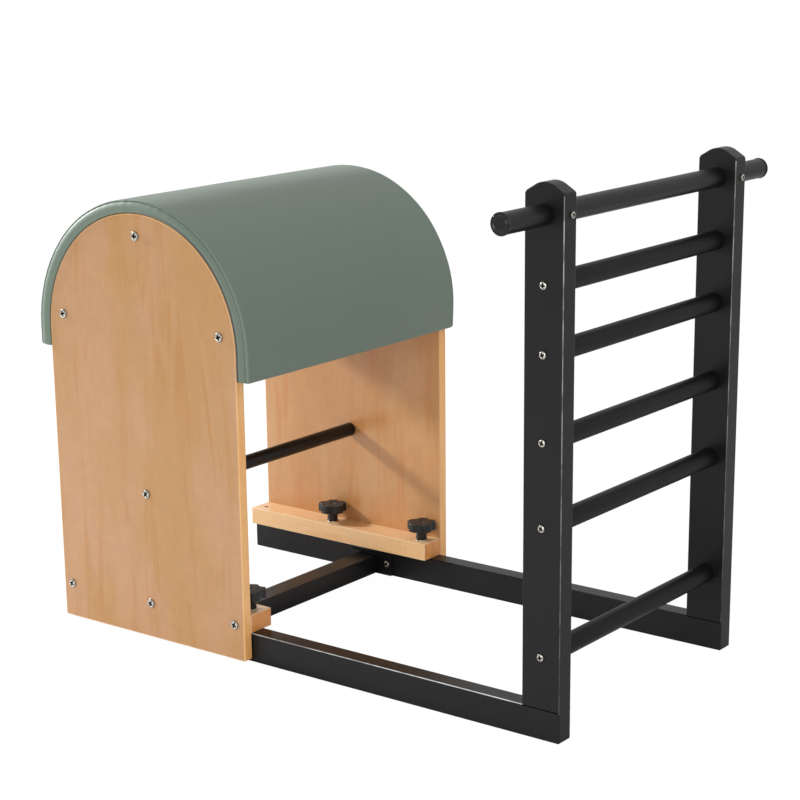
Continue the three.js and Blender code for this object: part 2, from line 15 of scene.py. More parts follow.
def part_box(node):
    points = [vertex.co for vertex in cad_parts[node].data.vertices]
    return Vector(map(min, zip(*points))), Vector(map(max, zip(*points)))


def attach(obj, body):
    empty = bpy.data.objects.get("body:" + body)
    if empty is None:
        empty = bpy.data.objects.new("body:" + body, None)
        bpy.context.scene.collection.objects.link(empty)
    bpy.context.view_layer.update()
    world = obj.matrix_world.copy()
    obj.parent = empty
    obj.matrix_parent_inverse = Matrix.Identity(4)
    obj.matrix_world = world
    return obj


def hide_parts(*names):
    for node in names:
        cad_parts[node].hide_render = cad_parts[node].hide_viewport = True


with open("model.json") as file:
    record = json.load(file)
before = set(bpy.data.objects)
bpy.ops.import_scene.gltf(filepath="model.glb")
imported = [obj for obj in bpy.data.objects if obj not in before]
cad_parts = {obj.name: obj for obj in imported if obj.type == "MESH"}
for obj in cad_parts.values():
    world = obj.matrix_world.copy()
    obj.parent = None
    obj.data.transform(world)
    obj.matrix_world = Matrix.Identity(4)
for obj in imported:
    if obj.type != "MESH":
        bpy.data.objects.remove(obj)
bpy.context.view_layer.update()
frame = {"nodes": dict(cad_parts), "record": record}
MM = 0.001
nodes = frame["nodes"]
record = frame["record"]
slot_of = {part["node"]: part["material_slot"] for part in record["subparts"]}
body_of_node = {node: body for body, members in record["behaviour"]["bodies"].items() for node in members}

# %% [markdown]
# ## Colour and nodes
# Colours are written as sRGB hex, as a paint chart gives them. Blender mixes light in linear
# numbers, so one function turns the one into the other. Two more add a shader node and set what
# feeds it, so that a material reads as a list of steps.


# %% Colour and nodes
def linear(code):
    """An sRGB hex colour as linear RGBA: c / 12.92 in the darks, else ((c + 0.055) / 1.055) ** 2.4."""
    parts = np.array([int(code[i:i + 2], 16) for i in (1, 3, 5)]) / 255
    value = np.where(parts <= 0.04045, parts / 12.92, ((parts + 0.055) / 1.055) ** 2.4)
    return (*value.tolist(), 1.0)


def feed(tree, node, inputs):
    """Sets a node's inputs. Each is a number or colour, or the output socket that feeds it."""
    for name, value in inputs.items():
        if isinstance(value, bpy.types.NodeSocket):
            tree.links.new(value, node.inputs[name])
        else:
            node.inputs[name].default_value = value


def add(tree, kind, inputs=None, **settings):
    """Adds one node with its settings and inputs."""
    node = tree.nodes.new("ShaderNode" + kind)
    for name, value in settings.items():
        setattr(node, name, value)
    feed(tree, node, inputs or {})
    return node


def start_material(name):
    """A new material with its node tree, its surface shader, and the object's own coordinates."""
    material = bpy.data.materials.new(name)
    material.use_nodes = True
    tree = material.node_tree
    shader = tree.nodes["Principled BSDF"]
    place = add(tree, "TexCoord").outputs["Object"]
    return material, tree, shader, place


# %% [markdown]
# ## Powder-coated steel
# The frame is steel tube with a baked powder coat. The powder melts into a skin with a very fine
# orange peel, which spreads the reflections a little. A pale tone painted along some arrises is a
# painted highlight, so each mesh says with an attribute how much of it an arris gets. The rungs
# have a textured powder that gives a better grip, so they mirror less than the flat stock.


# %% Powder-coated steel
COAT_PEEL = 1.6 * MM
COAT_CLOUD = 90 * MM
HIGHLIGHT_BREAK_SIZE = 30 * MM


def powder_coat(name, gloss, rough):
    """Black paint: noise varies the roughness and gives the orange peel its bump.

    The arris_highlight attribute, broken up by one more noise, mixes in a pale tone as a painted highlight.
    """
    material, tree, shader, place = start_material(name)
    layers = {"highlight_break": (HIGHLIGHT_BREAK_SIZE, 3), "cloud": (COAT_CLOUD, 3), "peel": (COAT_PEEL, 2)}
    noise = {}
    for layer, (size, detail) in layers.items():
        inputs = {"Vector": place, "Scale": 1 / size, "Detail": detail}
        noise[layer] = add(tree, "TexNoise", inputs).outputs["Fac"]
    arris_highlight = add(tree, "Attribute", attribute_name="arris_highlight").outputs["Fac"]
    inputs = {"Value": noise["highlight_break"], "From Min": 0.4, "From Max": 0.6, "To Min": 0.4}
    highlight_break = add(tree, "MapRange", inputs).outputs["Result"]
    share = add(tree, "Math", {0: arris_highlight, 1: highlight_break}, operation="MULTIPLY").outputs["Value"]
    # painted highlight: a pale tone mixed in along the arrises
    tone = add(tree, "MixRGB", {"Fac": share, "Color1": linear("#111214"), "Color2": linear("#dcdee0")})
    sheen = add(tree, "MapRange", {"Value": noise["cloud"], "To Min": rough - 0.05, "To Max": rough + 0.05})
    bump = add(tree, "Bump", {"Height": noise["peel"], "Strength": 0.12, "Distance": 0.2 * MM})
    feed(tree, shader, {
        "Base Color": tone.outputs["Color"], "Roughness": sheen.outputs["Result"],
        "Specular IOR Level": gloss, "Normal": bump.outputs["Normal"],
    })
    return material


# %% [markdown]
# ## Lacquered veneer and solid wood
# The panels are plywood faced with rotary-cut veneer. Its tone drifts between a pinkish and a
# yellowish brown, a few wavy orange streaks run up it, and small dark flecks lie along the grain.
# The cleats are solid beech, which is paler, with short flecks along the bar. Both have a clear
# satin lacquer. One function makes both, because they differ only in tones and grain direction.


# %% Wood
# each layer of noise: its width across the grain, its length along it, its detail and its waviness
WOOD_LAYERS = {
    "region": (95 * MM, 240 * MM, 2, 0),
    "streak": (30 * MM, 300 * MM, 3, 1.1),
    "fibre": (1.6 * MM, 55 * MM, 3, 0),
    "fleck": (1.8 * MM, 16 * MM, 1, 0),
    "figure": (22 * MM, 22 * MM, 3, 0),
}


def lacquered_wood(name, grain, pink, yellow, orange, dark, streaks, flecks, rough=0.36, gloss=0.25):
    """Wood under lacquer: a pink tone drifts to a yellow one by region, and orange lies along wavy streaks.

    Fibre and figure shade it, and dark is mixed in where flecks lie. Each noise is drawn out along
    the grain, and its middle part is drawn out to run from a low to a high share.
    """
    material, tree, shader, place = start_material(name)
    noise = {}
    for layer, (width, length, detail, waviness) in WOOD_LAYERS.items():
        scale = [1 / width] * 3
        scale["XYZ".index(grain)] = 1 / length
        stretched = add(tree, "Mapping", {"Vector": place, "Scale": scale}).outputs["Vector"]
        inputs = {"Vector": stretched, "Scale": 1, "Detail": detail, "Distortion": waviness}
        noise[layer] = add(tree, "TexNoise", inputs).outputs["Fac"]
    limits = {
        "region": (0.38, 0.6, 0, 1), "streak": (0.53, 0.72, 0, streaks), "fleck": (0.7, 0.82, 0, flecks),
        "fibre": (0.3, 0.7, 0.97, 1.03), "figure": (0.3, 0.7, 0.97, 1.03),
    }
    share = {}
    for layer, (start, end, low, high) in limits.items():
        inputs = {"Value": noise[layer], "From Min": start, "From Max": end, "To Min": low, "To Max": high}
        share[layer] = add(tree, "MapRange", inputs).outputs["Result"]
    inputs = {"Fac": share["region"], "Color1": linear(pink), "Color2": linear(yellow)}
    tone = add(tree, "MixRGB", inputs).outputs["Color"]
    inputs = {"Fac": share["streak"], "Color1": tone, "Color2": linear(orange)}
    tone = add(tree, "MixRGB", inputs).outputs["Color"]
    inputs = {0: share["fibre"], 1: share["figure"]}
    shade = add(tree, "Math", inputs, operation="MULTIPLY").outputs["Value"]
    tone = add(tree, "VectorMath", {0: tone, "Scale": shade}, operation="SCALE").outputs["Vector"]
    tone = add(tree, "MixRGB", {"Fac": share["fleck"], "Color1": tone, "Color2": linear(dark)})
    bump = add(tree, "Bump", {"Height": noise["fibre"], "Strength": 0.12, "Distance": 0.1 * MM})
    feed(tree, shader, {
        "Base Color": tone.outputs["Color"], "Roughness": rough, "Normal": bump.outputs["Normal"],
        "Coat Weight": gloss, "Coat Roughness": 0.22,
    })
    return material


# %% [markdown]
# ## Leatherette
# The pad's cover is a vinyl-coated fabric. Rollers press a fine leather grain into it, which shows
# as tiny pebbles with creases between them. Cells of a Voronoi texture give the pebbles, and a
# slow noise varies their sheen as handling does. An attribute of the mesh paints shade into the
# sewn seam and where the cover is tucked in at the wood.


# %% Leatherette
PEBBLE = 1.4 * MM
COVER_CLOUD = 120 * MM


def leatherette():
    """Sage cover: pebbles from the distance to a cell's middle, and a slow noise in tone and roughness.

    The painted_shade attribute mixes in a dark tone as painted shade at the seam and the fold.
    """
    material, tree, shader, place = start_material("sage_leatherette")
    cloud = add(tree, "TexNoise", {"Vector": place, "Scale": 1 / COVER_CLOUD, "Detail": 4}).outputs["Fac"]
    tone = add(tree, "MixRGB", {"Fac": cloud, "Color1": linear("#6d7c6e"), "Color2": linear("#738275")})
    sheen = add(tree, "MapRange", {"Value": cloud, "To Min": 0.48, "To Max": 0.6})
    cells = {"Vector": place, "Scale": 1 / PEBBLE, "Randomness": 0.9}
    pebbles = add(tree, "TexVoronoi", cells, feature="SMOOTH_F1").outputs["Distance"]
    bump = add(tree, "Bump", {"Height": pebbles, "Strength": 0.22, "Distance": 0.3 * MM}, invert=True)
    # painted shade: a dark tone mixed in at the seam, the fold and the strip
    painted_shade = add(tree, "Attribute", attribute_name="painted_shade").outputs["Fac"]
    tone = add(tree, "MixRGB", {"Fac": painted_shade, "Color1": tone.outputs["Color"], "Color2": linear("#1e2320")})
    feed(tree, shader, {
        "Base Color": tone.outputs["Color"], "Roughness": sheen.outputs["Result"],
        "Normal": bump.outputs["Normal"], "Sheen Weight": 0.08, "Sheen Roughness": 0.4,
    })
    return material


# %% [markdown]
# ## Moulded plastic and plated steel
# The star knobs are glass-filled nylon from a spark-eroded mould, so they have a fine matt
# texture. The handle caps are polished polyethylene. The screws, washers and nuts are steel with
# a bright zinc plate, whose reflections vary a little from spot to spot. An attribute paints shade
# into a screw's recess and round its head's rim.


# %% Plastic and plate
PLATE_MOTTLE = 1.5 * MM


def moulded_plastic(name, colour, rough, texture, depth):
    """Plastic: a fine noise of the mould's texture size as bump, over an even colour."""
    material, tree, shader, place = start_material(name)
    spark = add(tree, "TexNoise", {"Vector": place, "Scale": 1 / texture, "Detail": 3}).outputs["Fac"]
    bump = add(tree, "Bump", {"Height": spark, "Strength": depth, "Distance": 0.2 * MM})
    feed(tree, shader, {"Base Color": linear(colour), "Roughness": rough, "Normal": bump.outputs["Normal"]})
    return material


def zinc_plate():
    """Bright plate: a full metal whose roughness follows a fine noise. The painted_shade attribute darkens
    it with painted shade.
    """
    material, tree, shader, place = start_material("bright_zinc_plate")
    mottle = add(tree, "TexNoise", {"Vector": place, "Scale": 1 / PLATE_MOTTLE, "Detail": 2}).outputs["Fac"]
    sheen = add(tree, "MapRange", {"Value": mottle, "To Min": 0.18, "To Max": 0.34}).outputs["Result"]
    # painted shade in a screw's recess and round its head's rim
    painted_shade = add(tree, "Attribute", attribute_name="painted_shade").outputs["Fac"]
    tone = add(tree, "MixRGB", {"Fac": painted_shade, "Color1": linear("#d8d4ca"), "Color2": linear("#1c1b19")})
    feed(tree, shader, {"Base Color": tone.outputs["Color"], "Roughness": sheen, "Metallic": 1.0})
    return material


birch = lacquered_wood("lacquered_birch_veneer", "Z", "#c09267", "#bc8c56", "#b77c3a", "#8a5e38", 0.6, 0.4)
# painted highlight: a paler veneer for the panels' rounded arrises
birch_painted_highlight = lacquered_wood("birch_arris_painted_highlight", "Z", "#deb487", "#dcb280", "#d4a56a", "#b18754", 0.4, 0.2)
# painted light: a lighter, warmer copy of the veneer for the far panel's inner face
far_birch_painted_light = lacquered_wood("birch_veneer_painted_light", "Z", "#cf9c69", "#ca925a", "#c88040", "#8a5e38", 0.5, 0.4)
edge_band = lacquered_wood("lacquered_edge_band", "Z", "#ffc480", "#ffbb70", "#f2a451", "#bc8247", 0.6, 0.2)
beech = lacquered_wood(
    "lacquered_beech", "X", "#f0c595", "#eec28b", "#e2a96c", "#b98459", 0.6, 0.6, rough=0.3, gloss=0.5)
# the sawn ends' darker orange is end grain, and also painted shade
end_beech_and_shade = lacquered_wood(
    "beech_end_grain_and_shade", "X", "#e6974c", "#e49347", "#d27f38", "#985c28", 0.5, 0.8, rough=0.4)
# painted highlight: a paler beech for the cleats' rounded arrises
beech_painted_highlight = lacquered_wood(
    "beech_painted_highlight", "X", "#ffecd2", "#ffe8c8", "#f2cf9e", "#d9ab7c", 0.4, 0.3, rough=0.25, gloss=0.8)
pine = lacquered_wood("sawn_pine", "Y", "#dcc193", "#d8ba84", "#cfa871", "#a9814e", 0.9, 0.4, rough=0.6)
textured_coat = powder_coat("textured_powder_coat", 0.18, 0.47)
materials = {
    "black_paint": powder_coat("powder_coated_steel", 0.3, 0.37),
    "birch_ply": birch,
    "beech": beech,
    "pine": pine,
    "sage_vinyl": leatherette(),
    "matte_black": moulded_plastic("moulded_nylon", "#1a1b1c", 0.5, 0.7 * MM, 0.2),
    "gloss_black": moulded_plastic("polished_polyethylene", "#0c0c0d", 0.16, 6 * MM, 0.05),
    "zinc": zinc_plate(),
}
for node, part in nodes.items():
    part.data.materials.clear()
    part.data.materials.append(materials[slot_of[node]])
print("materials:", ", ".join(material.name for material in materials.values()))

# %% [markdown]
# ## Curves and skins
# Most pieces here are flat stock with rounded arrises or turned bars. Both start from one line
# made of arcs that straight runs join. On an arc, the cosine and sine of the angle give the point
# and also the way out of the curve, so the shading normals are exact and flat faces stay flat.
# A skin joins a grid of such points into a closed mesh.


# %% Curves and skins
def arc_path(*arcs):
    """Points and outward normals along arcs of (centre u, centre v, radius, start, end, steps).

    A point is the centre plus the radius times the cosine and sine of its angle.
    """
    points = []
    normals = []
    for u, v, radius, start, end, steps in arcs:
        angle = np.radians(np.linspace(start, end, steps + 1))
        out = np.column_stack([np.cos(angle), np.sin(angle)])
        points.append([u, v] + radius * out)
        normals.append(out)
    return np.concatenate(points), np.concatenate(normals)


def grid_faces(rows, columns, join_rows=False):
    """Squares between neighbouring rings of a grid whose rings close on themselves."""
    index = np.arange(rows * columns).reshape(rows, columns)
    if join_rows:
        index = np.vstack([index, index[:1]])
    beside = np.roll(index, -1, axis=1)
    return np.stack([index[:-1], beside[:-1], beside[1:], index[1:]], axis=-1).reshape(-1, 4).tolist()


def signed_volume(points, faces):
    """Six times the volume that the faces enclose, by the sum of the triple products of their fans."""
    total = 0.0
    for size in {len(face) for face in faces}:
        corners = points[np.array([face for face in faces if len(face) == size])]
        for k in range(1, size - 1):
            total += np.einsum("ij,ij->", corners[:, 0], np.cross(corners[:, k], corners[:, k + 1]))
    return total


def new_object(name, data):
    """Adds an object to the scene for a mesh, a lamp or a camera."""
    thing = bpy.data.objects.new(name, data)
    bpy.context.scene.collection.objects.link(thing)
    return thing


def skin(name, rings, normals=None, ends="cap"):
    """A closed mesh over rings of points, with ends that are capped flat, drawn to a pole, or joined."""
    rows, columns = rings.shape[:2]
    if ends == "pole":
        faces = grid_faces(rows - 2, columns)
        points = np.vstack([rings[1:-1].reshape(-1, 3), rings[0, :1], rings[-1, :1]])
        first, last = (rows - 2) * columns, (rows - 2) * columns + 1
        inner = (rows - 3) * columns
        around = [(k, (k + 1) % columns) for k in range(columns)]
        faces += [(first, b, a) for a, b in around]
        faces += [(last, inner + a, inner + b) for a, b in around]
        if normals is not None:
            normals = np.vstack([normals[1:-1].reshape(-1, 3), normals[0, :1], normals[-1, :1]])
    else:
        faces = grid_faces(rows, columns, ends == "join")
        points = rings.reshape(-1, 3)
        if ends == "cap":
            faces += [list(range(columns))[::-1], list(range((rows - 1) * columns, rows * columns))]
        if normals is not None:
            normals = normals.reshape(-1, 3)
    if signed_volume(points, faces) < 0:
        faces = [face[::-1] for face in faces]
    mesh = bpy.data.meshes.new(name)
    mesh.from_pydata(points.tolist(), [], faces)
    mesh.shade_smooth()
    if normals is not None:
        mesh.normals_split_custom_set_from_vertices(normals.tolist())
    return new_object(name, mesh)


def dress(piece, node, *looks, slot=None, stands_for=True):
    """Gives a piece the material of its slot, or the looks given, and its body, and lets it stand for its
    CAD node.
    """
    slot = slot or slot_of[node]
    for look in looks or (materials[slot],):
        piece.data.materials.append(look)
    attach(piece, body_of_node[node])
    if stands_for:
        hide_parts(node)
    return piece


def mark(piece, name, values):
    """Gives each vertex a number, which a material reads by its name."""
    numbers = piece.data.attributes.new(name, "FLOAT", "POINT")
    numbers.data.foreach_set("value", np.ravel(values))


def span(node):
    """A CAD node's lowest and highest corner as arrays, in metres."""
    low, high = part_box(node)
    return np.array(low), np.array(high)


# %% [markdown]
# ## Flat stock with rounded arrises
# A board, a tube or a plate is an outline in X and Z with a thickness along Y. At both faces the
# outline moves inwards by a quarter circle, which rounds every arris alike. A real tube has such
# an edge from its bending, and a board has it from a router or a sanding block.


# %% Flat stock
ARRIS_STEPS = 5
CORNER_SHARE = 1.3  # an outline's corners are rounder than its arrises by this factor


def board(name, outline, low, high, arris, highlight=None):
    """An outline carried from y = low to high, with a quarter circle at both faces.

    It moves inwards by arris times (1 - sine) while it rises by arris times (1 - cosine). The
    arris_highlight attribute, a painted highlight, is the fourth power of twice the sine times the
    cosine, so it peaks in the middle of an arris, times what highlight gives for the points and normals.
    """
    points, out = outline
    angle = np.linspace(0, np.pi / 2, ARRIS_STEPS + 1)
    inset = arris * (1 - np.sin(angle))
    rise = arris * (1 - np.cos(angle))
    inset = np.concatenate([inset, inset[::-1]])[:, None]
    along = np.concatenate([low + rise, high - rise[::-1]])[:, None]
    sideways = np.concatenate([np.sin(angle), np.sin(angle)[::-1]])[:, None]
    facing = np.concatenate([-np.cos(angle), np.cos(angle)[::-1]])[:, None]
    level = np.ones(len(points))
    moved = [points[:, 0] - inset * out[:, 0], along * level, points[:, 1] - inset * out[:, 1]]
    rings = np.stack(moved, axis=-1)
    normals = np.stack([sideways * out[:, 0], facing * level, sideways * out[:, 1]], axis=-1)
    piece = skin(name, rings, normals)
    on_arris = (2 * facing * sideways) ** 4 * level
    mark(piece, "arris_highlight", on_arris * highlight(rings, normals) if highlight else 0 * on_arris)
    return piece


def rectangle(low_u, low_v, high_u, high_v, radius, steps=5):
    """A rectangle's outline with its corners rounded, anticlockwise from the lower left."""
    left, right = low_u + radius, high_u - radius
    bottom, top = low_v + radius, high_v - radius
    return arc_path(
        (left, bottom, radius, 180, 270, steps), (right, bottom, radius, 270, 360, steps),
        (right, top, radius, 0, 90, steps), (left, top, radius, 90, 180, steps),
    )


def boxed(name, node, arris, *looks, stands_for=True, low=None, high=None, highlight=None):
    """A node's box, or another one in its place, as flat stock with rounded arrises."""
    box_low, box_high = span(node)
    low = box_low if low is None else low
    high = box_high if high is None else high
    outline = rectangle(low[0], low[2], high[0], high[2], arris * CORNER_SHARE)
    return dress(board(name, outline, low[1], high[1], arris, highlight), node, *looks, stands_for=stands_for)


SIDES = {"near": -1, "far": 1}
TUBE_ARRIS = 2.2 * MM
REAR_HIGHLIGHT = 0.12
FRONT_HIGHLIGHT = 3


def highlight_on_rail(out):
    """Paints a highlight along the outer upper arris, where the normal points up and out.

    The rail's vertices all lie near its two ends, so the painted highlight grows evenly from rear to front.
    """
    def highlight(points, normals):
        # the painted highlight is stronger on the front half of the rail
        amount = np.where(points[..., 0] > 0, FRONT_HIGHLIGHT, REAR_HIGHLIGHT)
        return amount * (normals[..., 2] > 0.1) * (out * normals[..., 1] > 0.1)
    return highlight


for side, out in SIDES.items():
    boxed(f"rail_{side}_coated", f"rail_{side}", TUBE_ARRIS, highlight=highlight_on_rail(out))
print("rails are", np.round((span("rail_near")[1] - span("rail_near")[0]) / MM, 1), "mm")

# %% [markdown]
# ## Crossbeam
# One tube ties the rails together. It ends in a plate that is screwed to each rail. The CAD model
# has them in one node, so the tube stands for the node and the plates ride along with it.

# %% Crossbeam
BEAM_WIDTH = 50 * MM
BEAM_HEIGHT = 42 * MM
PLATE_THICKNESS = 4 * MM
PLATE_SHIFT = 10.5 * MM
PLATE_ARRIS = 0.9 * MM
beam_low, beam_high = span("crossbeam")
plate_x = (beam_low[0] + beam_high[0]) / 2
beam_x = plate_x - PLATE_SHIFT
tube_low = np.array([beam_x - BEAM_WIDTH / 2, beam_low[1] + PLATE_THICKNESS, beam_low[2]])
tube_high = np.array([beam_x + BEAM_WIDTH / 2, beam_high[1] - PLATE_THICKNESS, beam_low[2] + BEAM_HEIGHT])
boxed("crossbeam_tube_coated", "crossbeam", TUBE_ARRIS, low=tube_low, high=tube_high)
for side, out in SIDES.items():
    low, high = beam_low.copy(), beam_high.copy()
    if out < 0:
        high[1] = beam_low[1] + PLATE_THICKNESS
    else:
        low[1] = beam_high[1] - PLATE_THICKNESS
    boxed(f"crossbeam_plate_{side}_coated", "crossbeam", PLATE_ARRIS, stands_for=False, low=low, high=high)

# %% [markdown]
# ## Posts
# A post is a rectangular tube whose top is closed by a low gable with a rounded apex and rounded
# shoulders. Five arcs draw it: two at the foot, one at each shoulder and one at the apex. The foot
# is welded on, so it goes a little way into the rail's rounded arris, and no gap shows.

# %% Posts
POST_SLOPE = 31  # degrees
APEX_RADIUS = 38 * MM
SHOULDER_RADIUS = 8 * MM
WELD_RADIUS = 0.4 * MM
WELD_SINK = TUBE_ARRIS * CORNER_SHARE


def post_outline(low, high):
    """Two corners at the foot, and a gable whose flanks touch the apex arc and the shoulder arcs.

    A line parallel to a flank, inside it by the shoulder's radius, passes through the shoulder's
    centre, and past the apex's centre at a distance of the difference of the two radii.
    """
    slope = math.radians(POST_SLOPE)
    middle = (low[0] + high[0]) / 2
    reach = (high[0] - low[0]) / 2 - SHOULDER_RADIUS
    apex = high[2] - APEX_RADIUS
    spare = APEX_RADIUS - SHOULDER_RADIUS
    drop = (reach - spare * math.sin(slope)) * math.tan(slope)
    shoulder = apex + spare * math.cos(slope) - drop
    foot = low[2] + WELD_RADIUS - WELD_SINK
    return arc_path(
        (low[0] + WELD_RADIUS, foot, WELD_RADIUS, 180, 270, 3),
        (high[0] - WELD_RADIUS, foot, WELD_RADIUS, 270, 360, 3),
        (middle + reach, shoulder, SHOULDER_RADIUS, 0, 90 - POST_SLOPE, 10),
        (middle, apex, APEX_RADIUS, 90 - POST_SLOPE, 90 + POST_SLOPE, 16),
        (middle - reach, shoulder, SHOULDER_RADIUS, 90 + POST_SLOPE, 180, 10),
    )


FOOT_HIGHLIGHT = 0.1


def highlight_on_post(points, normals):
    """Paints a highlight on both front arrises where the normal points forwards, stronger towards the top.
    """
    height = points[..., 2] / points[..., 2].max()
    # the painted highlight fades towards the foot
    return (normals[..., 0] > 0.1) * (normals[..., 2] < 0.05) * (FOOT_HIGHLIGHT + (1 - FOOT_HIGHLIGHT) * height)


for side in SIDES:
    low, high = span(f"post_{side}")
    outline = post_outline(low, high)
    dress(board(f"post_{side}_coated", outline, low[1], high[1], TUBE_ARRIS, highlight_on_post), f"post_{side}")

# %% [markdown]
# ## Turned pieces
# Rungs, bars, studs and washers are round. Each is a profile of arcs, drawn as radius against the
# way along the axis and carried round it. The profile of a solid piece starts and ends on the axis.

# %% Turned pieces
AXES = {
    "X": np.array([[1, 0, 0], [0, 1, 0], [0, 0, 1]]),
    "Y": np.array([[0, 1, 0], [0, 0, 1], [1, 0, 0]]),
    "Z": np.array([[0, 0, 1], [1, 0, 0], [0, 1, 0]]),
}
TURN_STEPS = 72


def spokes(axis, steps):
    """The way along an axis, and the ways out of it at even turns, by the turn's cosine and sine."""
    along, across, beyond = AXES[axis]
    angle = np.arange(steps) * 2 * np.pi / steps
    return along, np.outer(np.cos(angle), across) + np.outer(np.sin(angle), beyond)


def turned(name, profile, centre, axis, ends="pole", steps=TURN_STEPS):
    """A profile carried round an axis: the centre, plus the way along, plus the radius times the spoke."""
    points, out = profile
    along, spoke = spokes(axis, steps)
    rings = centre + points[:, 0, None, None] * spoke + points[:, 1, None, None] * along
    normals = out[:, 0, None, None] * spoke + out[:, 1, None, None] * along
    return skin(name, rings, normals, ends)


def flat_ended(radius, half, edge, steps=5):
    """Profile of a solid rod: from the axis out along one end, round the edge, along the rod, and back."""
    return arc_path(
        (0, edge - half, edge, 270, 270, 0), (radius - edge, edge - half, edge, 270, 360, steps),
        (radius - edge, half - edge, edge, 0, 90, steps), (0, half - edge, edge, 90, 90, 0),
    )


ROD_EDGE = 0.8 * MM
for node in [*(f"rung_{n + 1}" for n in range(5)), "top_bar", "foot_bar"]:
    low, high = span(node)
    rod = flat_ended((high[2] - low[2]) / 2, (high[1] - low[1]) / 2, ROD_EDGE)
    look = textured_coat if node.startswith("rung") else materials["black_paint"]
    dress(turned(f"{node}_coated", rod, (low + high) / 2, "Y"), node, look)
print("rungs are", round((span("rung_1")[1] - span("rung_1")[0])[2] / MM, 1), "mm thick")

# %% [markdown]
# ## Handle caps
# A glossy plastic cap closes each end of the handle bar. Its face has a ring groove round a
# slightly raised middle. The profile is short straight lines, and an angle limit keeps its
# corners sharp while the rest is shaded smooth.

# %% Handle caps
CAP_FLANGE = 3 * MM
CAP_PLUG = 17 * MM
CAP_DEPTH = 18 * MM
CAP_RISE = 0.6 * MM
CAP_ROUNDING = 1.2 * MM
GROOVE_DEPTH = 0.9 * MM
GROOVE_PLACE = 0.72  # share of the face's radius, as is the groove's half width
GROOVE_SHARE = 0.09
SHARP_ANGLE = math.radians(34)


def lathe(name, radii, heights, seat, axis, out):
    """A solid turned from radii and heights above its seat, which both start and end on the axis."""
    along, spoke = spokes(axis, TURN_STEPS)
    rings = seat + radii[:, None, None] * spoke + out * heights[:, None, None] * along
    piece = skin(name, rings, ends="pole")
    piece.data.set_sharp_from_angle(angle=SHARP_ANGLE)
    return piece


def face_place(node, axis, out, depth):
    """The point on a node's axis that lies the given depth behind its outer end."""
    low, high = span(node)
    k = "XYZ".index(axis)
    place = (low + high) / 2
    place[k] = (high[k] if out > 0 else low[k]) - out * depth
    return place


def cap_profile(rim):
    """Radii and heights of a cap: plug, flange with a quarter-round edge, then a slightly raised face.

    The face loses a ring groove of cosine section.
    """
    turn = np.linspace(0, np.pi / 2, 6)
    edge_radii = rim - CAP_ROUNDING + CAP_ROUNDING * np.cos(turn)
    edge_heights = CAP_FLANGE - CAP_ROUNDING + CAP_ROUNDING * np.sin(turn)
    share = np.linspace(1, 0, 40)
    face_radii = (rim - CAP_ROUNDING) * share
    beside = np.clip((share - GROOVE_PLACE) / GROOVE_SHARE, -1, 1)
    groove = GROOVE_DEPTH * (0.5 + 0.5 * np.cos(np.pi * beside))
    face_heights = CAP_FLANGE + CAP_RISE * (1 - share**2) - groove
    radii = np.concatenate([[0, CAP_PLUG, CAP_PLUG, rim], edge_radii, face_radii[1:]])
    heights = np.concatenate([[-CAP_DEPTH, -CAP_DEPTH, 0, 0], edge_heights, face_heights[1:]])
    return radii, heights


for side, out in SIDES.items():
    node = f"handle_cap_{side}"
    low, high = span(node)
    radii, heights = cap_profile((high[0] - low[0]) / 2)
    seat = face_place(node, "Y", out, CAP_FLANGE)
    dress(lathe(f"{node}_polished", radii, heights, seat, "Y", out), node)

# %% [markdown]
# ## Screws
# Pan-head screws with a cross recess hold the panels, rungs and crossbeam. The head is a dome on
# a polar grid. The recess is a height field over it: where a point lies inside the cross, the
# dome sinks. A seeded random angle turns each cross, because no one lines screws up.

# %% Screws
HEAD_RADIUS = 7.2 * MM
SHADED_RIM = 0.84
RIM_SHADE = 0.6
HEAD_HEIGHT = 4 * MM
HEAD_EDGE = 0.4 * MM
SHANK_RADIUS = 3 * MM
SHANK_TIP = 1.5 * MM
RIM_HEIGHT = 1.5 * MM
RECESS_LENGTH = 9.4 * MM
RECESS_WIDTH = 3.1 * MM
RECESS_DEPTH = 2.6 * MM
RECESS_SLOPE = 0.35 * MM
PANEL_SCREW_SIZE = 1.3
BAR_SCREW_SIZE = 0.9
chance = np.random.default_rng(7)


def cross_depth(x, y):
    """How far the recess sinks inside the outline of two crossed bars.

    It grows to its depth over the walls' slope, and falls off by half from the middle to the ends.
    """
    bar_x = np.maximum(np.abs(x) - RECESS_LENGTH / 2, np.abs(y) - RECESS_WIDTH / 2)
    bar_y = np.maximum(np.abs(y) - RECESS_LENGTH / 2, np.abs(x) - RECESS_WIDTH / 2)
    inside = np.clip(-np.minimum(bar_x, bar_y) / RECESS_SLOPE, 0, 1)
    return RECESS_DEPTH * inside * (1 - 0.5 * np.hypot(x, y) / (RECESS_LENGTH / 2))


